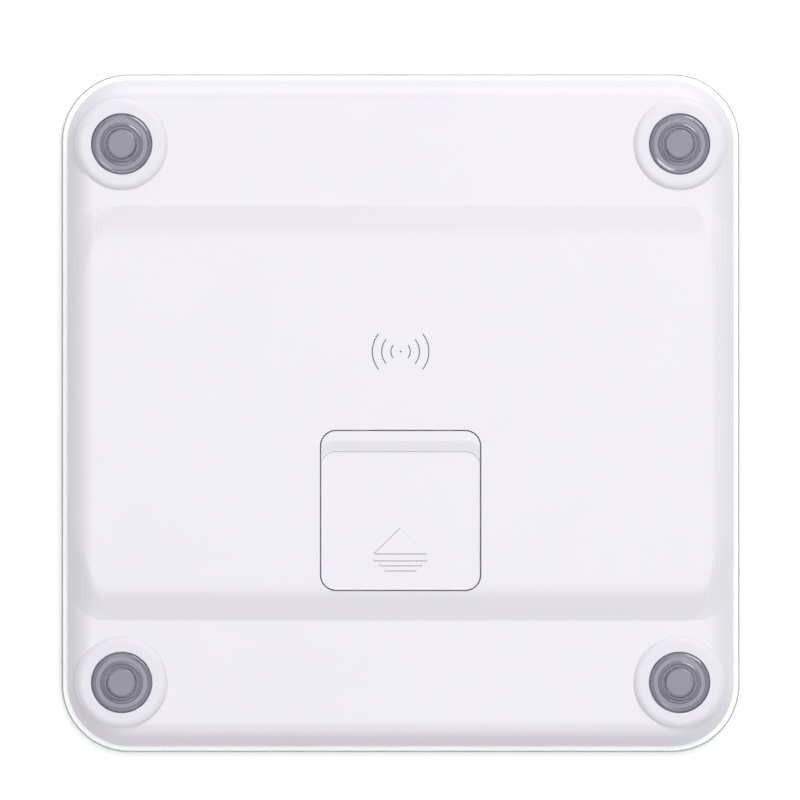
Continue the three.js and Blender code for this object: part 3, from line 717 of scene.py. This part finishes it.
def housing_inside(x, y):
    """Inner side of the shell, with its bonding lip, boss skirts and screw posts."""
    plain = plain_underside(x, y) - WALL
    height = np.where(edge_inset(x, y) < LIP + POST_STEP / 2, SEAT_Z, plain)
    height = np.where(foot_distance(x, y) < HOLE_R + WALL, BOSS_SKIRT_Z, height)
    for places, seat in ((BOARD_SCREWS, BOARD_TOP_Z), (DISPLAY_SCREWS, DISPLAY_TOP_Z)):
        for px, py in places:
            radius = np.hypot(x - px, y - py)
            height = np.where(radius < POST_R, np.minimum(height, seat), height)
            height = np.where(radius < POST_HOLE_R, plain, height)
    return height


def housing_shell():
    insets = [0, 0.03, 0.09, 0.2, 0.5, 1, LIP, LIP + POST_STEP, 3, 4, 5, 6, 7, 8, 9, RIM_WIDTH]
    loops = [square_loop(HOUSING_HALF, HOUSING_CORNER, d, steps=32) for d in insets]
    boss_rings = [HOLE_R, HOLE_R + 0.04, HOLE_R + 0.12, HOLE_R + HOLE_ROUND,
                  HOLE_R + WALL, HOLE_R + WALL + POST_STEP]
    boss_rings += list(np.linspace(BOSS_FACE_R, BOSS_SLOPE_R, 10))
    boss_rings += [BOSS_OUTER_R, BOSS_OUTER_R + BOSS_STEP + RING_SLACK]
    for centre in FEET:
        loops += [circle(centre, radius) for radius in boss_rings]
    loops += [square_loop(DOOR_HALF, DOOR_CORNER, -DOOR_GAP - d, DOOR_CENTRE)
              for d in (0, 0.02, 0.06, 0.12, DOORWAY_EDGE)]
    for place in [*BOARD_SCREWS, *DISPLAY_SCREWS]:
        loops += [circle(place, POST_R + k * POST_STEP, 24) for k in (0, 1)]
        loops += [circle(place, POST_HOLE_R + k * POST_STEP, 16) for k in (-1, 0)]
    across = HOUSING_HALF + 0.5     # the lines end outside, so that they cut the outermost loop
    turn_xs = list(np.linspace(CORNER_START_X, CORNER_END_X, 14))
    xs = [-across, *(-x for x in reversed(turn_xs)), *turn_xs, across]
    shares = [0, 0.12, 0.3, 0.5, 0.58, 0.66, 0.74, 0.82, 0.91, 1]
    offsets = [(0, shift) for shift in (-CREASE_BLEND, CREASE_BLEND)]
    lines = []
    for share, shift in [(share, 0) for share in shares] + offsets:
        for side in (1, -1):
            lines.append([(x, side * (float(slope_line(x, share)) + shift)) for x in xs])
    clear, middle_y = 1.2, 30
    between_y = FEET[0][1] - BOSS_OUTER_R - clear
    between_x = FEET[0][0] - BOSS_OUTER_R - clear
    for side in (1, -1):
        lines += [[(-across, side * y), (across, side * y)] for y in (between_y, middle_y)]
        for x in (-between_x, between_x):
            lines.append([(x, side * between_y), (x, side * across)])

    def keep(x, y):
        solid = (foot_distance(x, y) > HOLE_R - 0.01) & (doorway_depth(x, y) < 0.005)
        return solid & (edge_inset(x, y) > -0.01)

    piece = relief("housing_shell", loops, lines, keep, underside, housing_inside)
    # faces of the foot bosses take the rougher plastic with its painted shade
    for face in piece.data.polygons:
        if foot_distance(face.center.x / MM, face.center.y / MM) < BOSS_OUTER_R:
            face.material_index = 1
    return dress(piece, "scale_body", "shell_plastic", "textured_plastic_painted_shade", slot="white_plastic",
                 replaces=["base_housing"])


# ---- Glass sheet and its print

def glass_sheet():
    """The sheet: its edge as rings from below to above, ground, and its two polished faces."""
    steps = 8
    turns = [math.pi / 2 * k / steps for k in range(steps + 1)]
    below = [(GLASS_EDGE * (1 - math.sin(a)), GLASS_EDGE * (1 - math.cos(a))) for a in turns]
    levels = below + [(inset, GLASS_TOP_Z - z) for inset, z in reversed(below)]
    vertices, faces, rings = [], [], []
    for inset, z in levels:
        half = GLASS_HALF - inset
        ring = rounded_rectangle(half, half, GLASS_CORNER - inset, steps=32)
        rings.append(list(range(len(vertices), len(vertices) + len(ring))))
        vertices += [(x, y, z) for x, y in ring]
    for first, second in zip(rings, rings[1:]):
        count = len(first)
        faces += [[first[i], first[(i + 1) % count], second[(i + 1) % count], second[i]]
                  for i in range(count)]
    polished, ground = 0, 1
    kinds = [ground] * len(faces) + [polished, polished]
    faces += [rings[0][::-1], rings[-1]]
    piece = built("glass_sheet", vertices, faces)
    piece.data.polygons.foreach_set("material_index", kinds)
    return dress(smooth(piece), "scale_body", "clear_glass", "ground_glass_edge",
                 slot="clear_glass", replaces=["glass_platform"])


def enamel_print():
    """The white print, with a window for the digits and a softly rounded outer edge."""
    film_low, film_high = box_mm("display_filter")
    gap, window_corner, rounding = 0.3, 3, 0.2
    window_x = film_high[0] + gap
    window_y = (film_high[1] - film_low[1]) / 2 + gap
    centre = (0, (film_high[1] + film_low[1]) / 2)
    loops = [square_loop(ENAMEL_HALF, ENAMEL_CORNER, d, steps=32) for d in (0, rounding)]
    loops.append(rounded_rectangle(window_x, window_y, window_corner, centre, 8))

    def keep(x, y):
        return inside_rounded(x, y, window_x, window_y, window_corner, centre) < 0.005

    def top(x, y):
        inset = inside_rounded(x, y, ENAMEL_HALF, ENAMEL_HALF, ENAMEL_CORNER)
        return ENAMEL_TOP_Z - quarter_drop(np.maximum(inset, 0), rounding)

    def low(x, y):
        return np.full(np.shape(x), GLASS_TOP_Z)

    piece = relief("enamel_print", loops, [], keep, top, low)
    return dress(piece, "scale_body", "white_enamel", slot="white_enamel",
                 replaces=["enamel_layer"])


# ---- Battery door

def grip_marks():
    """The arrow's head and three bars below it, as convex outlines on the sunk face."""
    arrow_tip = -43.9
    arrow_base = -53.7
    marks = [[(-10.1, arrow_base), (10.1, arrow_base), (0, arrow_tip)]]
    bar, lean = 1.05, 0.5
    for half, top in ((10.7, -55.3), (8.6, -57.2), (6.5, -59.15)):
        marks.append([(-half + lean, top - bar), (half - lean, top - bar), (half, top), (-half, top)])
    return marks


def mark_grooves():
    """The narrow groove along each mark's lower edge, and along the arrow's left side."""
    end = 0.1                       # how far a groove stops short
    (left, low), _, (tip_x, tip_y) = grip_marks()[0]
    grooves = [[(left, low + end), (tip_x, tip_y), (tip_x - SIDE_GROOVE, tip_y + SIDE_GROOVE),
                (left - SIDE_GROOVE, low + end + SIDE_GROOVE)]]
    for mark in grip_marks():
        (left, low), (right, _) = mark[0], mark[1]
        grooves.append([(left + end, low - GROOVE_WIDTH), (right - end, low - GROOVE_WIDTH),
                        (right - 0.02, low), (left + 0.02, low)])
    return grooves


def door_outline_depth(x, y):
    return inside_rounded(x, y, DOOR_HALF, DOOR_HALF, DOOR_CORNER, DOOR_CENTRE)


SUNK_SHIFT = DOOR_STRIP + DOOR_SLOPE


def outside_sunk_face(x, y):
    """Distance out from the sunk face, which reaches past the door's lower edge."""
    centre = (0, DOOR_CENTRE_Y - SUNK_SHIFT)
    return -inside_rounded(x, y, DOOR_HALF, DOOR_HALF, DOOR_CORNER, centre)


def door_top(x, y):
    out = np.where(y > DOOR_CENTRE_Y - SUNK_SHIFT, outside_sunk_face(x, y), 0)
    foot = np.clip(out / DOOR_SLOPE_FOOT, 0, 1)
    rest = np.clip((out - DOOR_SLOPE_FOOT) / (DOOR_SLOPE - DOOR_SLOPE_FOOT), 0, 1)
    eased = rest - DOOR_SLOPE_EASE * np.sin(2 * math.pi * rest) / (2 * math.pi)
    height = DOOR_FACE_Z + DOOR_FOOT_STEP * foot
    height = height + (PLATEAU_Z - DOOR_FACE_Z - DOOR_FOOT_STEP) * eased
    for mark in grip_marks():
        low, high = mark[0][1], mark[-1][1]
        wedge = MARK_START + (1 - MARK_START) * np.clip((high - y) / (high - low), 0, 1)
        height = height + MARK_RISE * wedge * np.clip(inside_polygon(x, y, mark) / MARK_SIDE, 0, 1)
    for groove in mark_grooves():
        height = height - GROOVE_DEPTH * np.clip(inside_polygon(x, y, groove) / GROOVE_SIDE, 0, 1)
    return height - quarter_drop(np.maximum(door_outline_depth(x, y), 0), DOOR_EDGE)


RIB_INSET = 3.4                     # stiffening rib round the door's inner side
RIB_WIDTH = 1
RIB_DROP = 0.9
RIB_SIDE = 0.1


def door_inside(x, y):
    depth = door_outline_depth(x, y)
    rib = np.clip((depth - RIB_INSET) / RIB_SIDE, 0, 1)
    rib = rib * np.clip((RIB_INSET + RIB_WIDTH - depth) / RIB_SIDE, 0, 1)
    return DOOR_INNER_Z - RIB_DROP * rib


def door_loop(inset, shift=0):
    half = DOOR_HALF - inset
    return rounded_rectangle(half, half, max(DOOR_CORNER - inset, 0.6), (0, DOOR_CENTRE_Y + shift), 20)


def battery_cover():
    loops = [door_loop(d) for d in (0, 0.02, 0.06, 0.12, DOOR_EDGE)]
    loops += [door_loop(RIB_INSET + d) for d in (0, RIB_SIDE, RIB_WIDTH - RIB_SIDE, RIB_WIDTH)]
    for mark in grip_marks():
        loops += [mark, inset_polygon(mark, MARK_SIDE)]
    for groove in mark_grooves():
        loops += [groove, inset_polygon(groove, GROOVE_SIDE)]
    lines = []
    for out in (0, DOOR_SLOPE_FOOT, 0.9, 1.7, 2.5, 3.3, 3.8, DOOR_SLOPE):
        ring = door_loop(-out, -SUNK_SHIFT)
        upper = [p for p in ring if p[1] > DOOR_CENTRE_Y - SUNK_SHIFT]
        lines.append([p for p in upper if float(door_outline_depth(*np.array(p))) > -1])

    def keep(x, y):
        return door_outline_depth(x, y) > -0.002

    plate = relief("battery_cover", loops, lines, keep, door_top, door_inside)
    tongues = [rounded_block(f"tongue_{side}",
                             (side * TONGUE_X - TONGUE_HALF, HINGE_Y - 2.5, TONGUE_LOW_Z),
                             (side * TONGUE_X + TONGUE_HALF, HINGE_Y + 2.6, DOOR_INNER_Z + 0.02),
                             0.25) for side in (-1, 1)]
    half, low, edge_y = CATCH_HALF, CATCH_LOW_Z, DOOR_CENTRE_Y - DOOR_HALF
    leg = rounded_block("catch_leg", (-half, edge_y + 0.4, low),
                        (half, edge_y + 1.6, DOOR_INNER_Z + 0.02), 0.2)
    nose = rounded_block("catch_nose", (-half, edge_y - 0.2, low), (half, edge_y + 1, low + 1), 0.2)
    merge(plate, *tongues, leg, nose)
    return dress(plate, "battery_door", "white_plastic", slot="white_plastic",
                 replaces=["battery_door"])


def door_pad():
    """Foam pad: crowned towards the cells, with its sides pulled in."""
    low, high = box_mm("door_foam")
    centre = (0, (low[1] + high[1]) / 2)
    half_x, half_y = high[0], (high[1] - low[1]) / 2
    insets = [0, 0.05, 0.15, 0.3, 0.6, 1.2, 2.4, 4, 7, 10]
    loops = [rounded_rectangle(half_x - d, half_y - d, max(2 - d, 0.5), centre, 10) for d in insets]

    def inset(x, y):
        return np.maximum(inside_rounded(x, y, half_x, half_y, 2, centre), 0)

    def lower(x, y):
        crown = 1 - np.exp(-inset(x, y) / 1.1)
        wave = 0.03 * np.sin(x / 2.3) * np.sin(y / 1.9)
        return high[2] - (high[2] - low[2]) * (0.35 + 0.62 * crown) + wave * crown

    def upper(x, y):
        return np.full(np.shape(x), high[2])

    grid = [[(x, centre[1] - half_y + 1), (x, centre[1] + half_y - 1)]
            for x in np.arange(-half_x + 1, half_x, 1.5)]
    piece = relief("door_pad", loops, grid, lambda x, y: x < 1e9, upper, lower)
    return dress(piece, "battery_door", "grey_foam", slot="grey_foam", replaces=["door_foam"])


# ---- Battery bay

def battery_x(index):
    return (index - (BATTERY_COUNT - 1) / 2) * BATTERY_PITCH


def battery_turn(index):
    return 1 if index % 2 == 0 else -1


def bay_depth(x, y):
    return inside_rounded(x, y, BAY_HALF_X, BAY_HALF_Y, BAY_CORNER, DOOR_CENTRE)


def cell_base_y(index):
    """Y of a cell's flat end, when its nub is against the contact."""
    reach = BAY_HALF_Y - CONTACT_DEPTH - BATTERY_LENGTH - BATTERY_NUB
    return DOOR_CENTRE_Y + battery_turn(index) * reach


NOTCH_HALF = 4.5                    # notches for the door's tongues
NOTCH_DEPTH = 3.4
NOTCH_LOW_Y = HINGE_Y - 1
NOTCH_HIGH_Y = HINGE_Y + 4
CRADLE_R = BATTERY_R + 0.15
CRADLE_TOP_Z = BATTERY_Z - 2.2
CRADLE_HALF_Y = BAY_HALF_Y - 2.6    # the cradles stop short of the contacts
BAY_ROUND = 0.5
BOUNDARY = 0.04                     # width of a step in a height field


def bay_top(x, y):
    shell = np.minimum(plain_underside(x, y) - WALL - 0.1, PLATEAU_Z - WALL)
    height = np.where(doorway_depth(x, y) > 0.03, TRAY_LEDGE_Z, shell)
    notch = (np.abs(np.abs(x) - TONGUE_X) < NOTCH_HALF) & (y > NOTCH_LOW_Y) & (y < NOTCH_HIGH_Y)
    height = np.where(notch, np.minimum(height, PLATEAU_Z - WALL - NOTCH_DEPTH), height)
    trough = np.full(np.shape(x), np.inf)
    for index in range(BATTERY_COUNT):
        across = np.minimum(np.abs(x - battery_x(index)), CRADLE_R)
        trough = np.minimum(trough, BATTERY_Z - np.sqrt(CRADLE_R ** 2 - across ** 2))
    floor = np.clip(trough, TRAY_FLOOR_Z, CRADLE_TOP_Z)
    floor = np.where(np.abs(y - DOOR_CENTRE_Y) > CRADLE_HALF_Y, TRAY_FLOOR_Z, floor)
    edge = quarter_drop(np.maximum(-bay_depth(x, y), 0), BAY_ROUND)
    height = np.where(doorway_depth(x, y) > 0.03, height - edge, height)
    return np.where(bay_depth(x, y) > 0.02, floor, height)


def battery_bay():
    loops = [square_loop(TRAY_HALF, TRAY_CORNER, 0, DOOR_CENTRE)]
    loops += [square_loop(DOOR_HALF, DOOR_CORNER, d - DOOR_GAP, DOOR_CENTRE) for d in (0, 0.06)]
    loops += [rounded_rectangle(BAY_HALF_X + d, BAY_HALF_Y + d, BAY_CORNER + d, DOOR_CENTRE, 8)
              for d in (-BOUNDARY, 0, 0.08, 0.2, BAY_ROUND)]
    for x in (-TONGUE_X, TONGUE_X):
        for half in (NOTCH_HALF, NOTCH_HALF + BOUNDARY):
            loops.append([(x - half, NOTCH_LOW_Y), (x + half, NOTCH_LOW_Y),
                          (x + half, NOTCH_HIGH_Y), (x - half, NOTCH_HIGH_Y)])
    ends = CRADLE_HALF_Y
    lines = [[(-BAY_HALF_X, DOOR_CENTRE_Y + side * e), (BAY_HALF_X, DOOR_CENTRE_Y + side * e)]
             for side in (-1, 1) for e in (ends, ends + BOUNDARY)]
    for index in range(BATTERY_COUNT):
        for k in range(-10, 11):
            x = battery_x(index) + BATTERY_PITCH / 2 * math.sin(math.pi / 2 * k / 10.01)
            lines.append([(x, DOOR_CENTRE_Y - ends), (x, DOOR_CENTRE_Y + ends)])
    lines.append([(-TRAY_HALF, -SHOULDER_Y), (TRAY_HALF, -SHOULDER_Y)])

    def keep(x, y):
        return inside_rounded(x, y, TRAY_HALF, TRAY_HALF, TRAY_CORNER, DOOR_CENTRE) > -0.01

    def under(x, y):
        return np.full(np.shape(x), tray_low[2])

    piece = relief("battery_bay", loops, lines, keep, bay_top, under)
    return dress(piece, "scale_body", "inner_plastic", slot="inner_plastic",
                 replaces=["battery_tray"])


def battery_cells():
    for index in range(BATTERY_COUNT):
        outline = [(0, 0.35), (3.1, 0.35), (3.3, 0), (BATTERY_R - 0.35, 0), (BATTERY_R, 0.35),
                   (BATTERY_R, 10), (BATTERY_R, 11.5), (BATTERY_R, 34), (BATTERY_R, 35.2),
                   (BATTERY_R, BATTERY_LENGTH - 0.5), (BATTERY_R - 0.5, BATTERY_LENGTH),
                   (3.2, BATTERY_LENGTH), (2.4, BATTERY_LENGTH - 0.3), (1.95, BATTERY_LENGTH - 0.3),
                   (1.9, BATTERY_LENGTH + BATTERY_NUB - 0.2),
                   (1.7, BATTERY_LENGTH + BATTERY_NUB), (0, BATTERY_LENGTH + BATTERY_NUB)]
        steel, sleeve, band = 0, 1, 2
        parts = [steel, steel, steel, sleeve, sleeve, sleeve, sleeve, band, sleeve, sleeve,
                 steel, steel, steel, steel, steel, steel, steel]
        centre = (battery_x(index), cell_base_y(index), BATTERY_Z)
        piece = turned(f"cell_{index + 1}", outline, centre, 64, battery_turn(index), parts)
        dress(piece, "scale_body", "nickel_steel", "cell_sleeve", "cell_band", slot="cell_sleeve",
              replaces=[f"battery_cell_{index + 1}"])


def cone_springs():
    wire_r, gap, coils, steps = 0.35, 0.1, 2.5, 72
    wide, narrow = 3.6, 2.3
    for index in range(BATTERY_COUNT):
        turn = battery_turn(index)
        start_y = DOOR_CENTRE_Y - turn * (BAY_HALF_Y - CONTACT_THICKNESS - wire_r - gap)
        end_y = cell_base_y(index) - turn * (wire_r + gap)
        route = []
        for i in range(steps + 1):
            part = i / steps
            angle = 2 * math.pi * coils * part
            radius = wide - (wide - narrow) * part
            route.append((battery_x(index) + radius * math.cos(angle),
                          start_y + (end_y - start_y) * part, BATTERY_Z + radius * math.sin(angle)))
        piece = tube(f"cone_spring_{index + 1}", route, wire_r)
        dress(piece, "scale_body", "spring_steel", slot="spring_steel",
              replaces=[f"contact_spring_{index + 1}"])


# ---- Feet

def corrugated_ring(index, centre):
    """Rubber ring with two low ridges and a groove between them."""
    face = BOSS_FACE_Z
    outline = [(11.45, face - 1.2), (11.5, face - 0.6), (11.3, face - 0.3), (11.1, face - 0.04),
               (10.55, face + 0.2), (10, face - 0.04), (9.8, face - 0.12), (8.2, face - 0.05),
               (8.05, face + 0.3), (7.95, face + 0.45), (7.4, face + 0.69), (6.85, face + 0.45),
               (6.6, face + 0.3), (6.2, face + 0.25), (5.85, face + 0.2), (5.8, face - 1.2)]
    radii = [0.1, 0.2, 0.2, 0.06, 0.06, 0.06, 0.1, 0.1, 0.1, 0.05, 0.06, 0.06, 0.1, 0.1, 0.1, 0.1]
    profile = softened(outline, radii)
    piece = turned(f"corrugated_ring_{index + 1}", profile, (*centre, 0))
    dress(piece, "scale_body", "grey_rubber", slot="grey_rubber",
          replaces=[f"foot_diaphragm_{index + 1}"])


def foot_pad(index, centre):
    low, high = box_mm(f"foot_pad_{index + 1}")
    radius = (high[0] - low[0]) / 2
    outline = [(0, low[2]), (radius - 0.6, low[2]), (radius, low[2] + 0.6), (radius, high[2] - 0.4),
               (radius - 0.08, high[2] - 0.24), (radius - 0.62, high[2]), (0, high[2] - 0.02)]
    radii = [0, 0.2, 0.2, 0.08, 0.08, 0.1, 0]
    profile = [outline[0], *softened(outline, radii, 6)[1:-1], outline[-1]]
    piece = turned(f"pad_{index + 1}", profile, (*centre, 0))
    dress(piece, f"foot_{index + 1}", "grey_plastic", slot="grey_plastic",
          replaces=[f"foot_pad_{index + 1}"])


# ---- Radio mark

MARK_Y = 23.55
PRINT_THICKNESS = 0.03


def print_stroke(outline):
    """One printed shape: a thin closed slab with a slightly rounded edge."""
    count = len(outline)
    inner = inset_polygon(outline, 0.01)
    low = [(x, y, PLATEAU_Z - 0.005) for x, y in outline]
    side = [(x, y, PLATEAU_Z + 0.7 * PRINT_THICKNESS) for x, y in outline]
    top = [(x, y, PLATEAU_Z + PRINT_THICKNESS) for x, y in inner]
    faces = [list(range(count))[::-1], list(range(2 * count, 3 * count))]
    for level in (0, 1):
        for i in range(count):
            j = (i + 1) % count
            faces.append([level * count + i, level * count + j,
                          (level + 1) * count + j, (level + 1) * count + i])
    return low + side + top, faces


def arc_outline(radius, half_angle, line, side):
    """A stroke along an arc, with round ends, anticlockwise: out along it, then back inside."""
    steps, end_steps = 20, 6
    middle = 0 if side > 0 else math.pi
    angles = [middle - half_angle + 2 * half_angle * i / steps for i in range(steps + 1)]
    points = []
    for way, chain in ((1, angles), (-1, angles[::-1])):
        out = way * line / 2
        points += [((radius + out) * math.cos(a), (radius + out) * math.sin(a)) for a in chain]
        for k in range(1, end_steps):
            turn = math.pi * k / end_steps
            r = radius + out * math.cos(turn)
            a = chain[-1] + out * math.sin(turn) / radius
            points.append((r * math.cos(a), r * math.sin(a)))
    return points


def radio_mark():
    """A dot between three pairs of arcs, printed on the raised middle."""
    line, dot_radius = 0.42, 0.36
    outlines = [circle((0, 0), dot_radius, 24)]
    for radius in (3.7, 7.2, 10.8):
        outlines += [arc_outline(radius, math.radians(38), line, side) for side in (1, -1)]
    vertices, faces = [], []
    for outline in outlines:
        points, sides = print_stroke([(x, y + MARK_Y) for x, y in outline])
        faces += [[len(vertices) + i for i in face] for face in sides]
        vertices += points
    dress(smooth(built("radio_mark", vertices, faces)), "scale_body", "grey_print")


# ---- CAD nodes that are shown as they are

KEPT = {
    "smoked_film": ["display_filter"],
    "nickel_steel": ["end_contact_1", "end_contact_2", "bridge_contact_1", "bridge_contact_2",
                     "bridge_contact_3", "radio_module", *(f"load_cell_{i}" for i in range(1, 5))],
    "inner_plastic": [f"load_cell_frame_{i}" for i in range(1, 5)],
    "white_sleeve": ["battery_socket", *(f"sensor_lead_{i}" for i in range(1, 5))],
    "board_laminate": ["main_board", "display_board"],
    "black_epoxy": ["processor_blob"],
    "display_black": ["digit_display"],
    "red_sleeve": ["battery_lead_red"],
    "black_sleeve": ["battery_lead_black"],
    "spring_steel": ["display_screw_1", "display_screw_2",
                     *(f"board_screw_{i}" for i in range(1, 5))],
}


def dress_kept_nodes():
    for material, names in KEPT.items():
        for name in names:
            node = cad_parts[name]
            node.data.materials.clear()
            node.data.materials.append(MATERIALS[material])
            if name.startswith(("end_contact", "bridge_contact")):
                bevel = node.modifiers.new("soft_edges", "BEVEL")
                bevel.width = 0.12 * MM
                bevel.segments = 3
                bevel.limit_method = "ANGLE"


# ---- Studio

def floor():
    finish = Finish("studio_floor")
    colour = finish.mix(finish.noise(400, 2.0), (0.955, 0.955, 0.955), (0.97, 0.97, 0.97))
    finish.set(finish.shader, {"Base Color": colour, "Roughness": 0.8, "Specular IOR Level": 0.1})
    half = 6000
    corners = [(-half, -half, 0), (half, -half, 0), (half, half, 0), (-half, half, 0)]
    sheet = built("studio_floor", corners, [(0, 1, 2, 3)])
    sheet.data.materials.append(finish.material)


LIGHTS = (                          # each one: name, place, size and watts
    ("overhead_softbox", (0, 0, 3.0), (2.6, 2.6), 65),
    ("back_softbox", (0, 2.6, 1.4), (2.4, 0.8), 27),
    ("low_back_strip", (0, 2.4, 0.45), (2.4, 0.6), 5),
    ("front_fill", (0, -2.0, 2.2), (2.0, 0.6), 15),
    ("side_fill", (2.6, 0, 1.4), (2.4, 0.8), 4),
    ("key_softbox", (0.87, 1.22, 1.36), (1.0, 0.16), 13),
)
WORLD_LIGHT = 0.335


def area_light(name, place, size, watts):
    """A light box that faces the object and isn't seen itself."""
    data = bpy.data.lights.new(name, "AREA")
    data.shape = "RECTANGLE"
    data.size, data.size_y = size
    data.energy = watts
    light = bpy.data.objects.new(name, data)
    light.location = place
    light.rotation_mode = "QUATERNION"
    light.rotation_quaternion = (Vector((0, 0, 0)) - Vector(place)).to_track_quat("-Z", "Y")
    light.visible_camera = False
    bpy.context.scene.collection.objects.link(light)


def studio():
    scene = bpy.context.scene
    scene.view_settings.view_transform = "Standard"
    world = bpy.data.worlds.new("studio")
    scene.world = world
    world.use_nodes = True
    background = world.node_tree.nodes["Background"]
    background.inputs["Color"].default_value = (1, 1, 1, 1)
    background.inputs["Strength"].default_value = WORLD_LIGHT
    for light in LIGHTS:
        area_light(*light)


VIEW_WIDTH = 0.3068                 # metres across the picture, at the glass
VIEW_CENTRE = (-0.00023, 0.00505)


def camera():
    data = bpy.data.cameras.new("camera")
    data.sensor_width = 36
    data.lens = 500
    data.clip_end = 50
    camera_object = bpy.data.objects.new("camera", data)
    distance = VIEW_WIDTH * data.lens / data.sensor_width
    camera_object.location = (*VIEW_CENTRE, distance + GLASS_TOP_Z * MM)
    bpy.context.scene.collection.objects.link(camera_object)
    bpy.context.scene.camera = camera_object


camera()
floor()
studio()
housing_shell()
glass_sheet()
enamel_print()
battery_cover()
door_pad()
battery_bay()
battery_cells()
cone_springs()
for foot_index, foot_centre in enumerate(FEET):
    corrugated_ring(foot_index, foot_centre)
    foot_pad(foot_index, foot_centre)
radio_mark()
dress_kept_nodes()
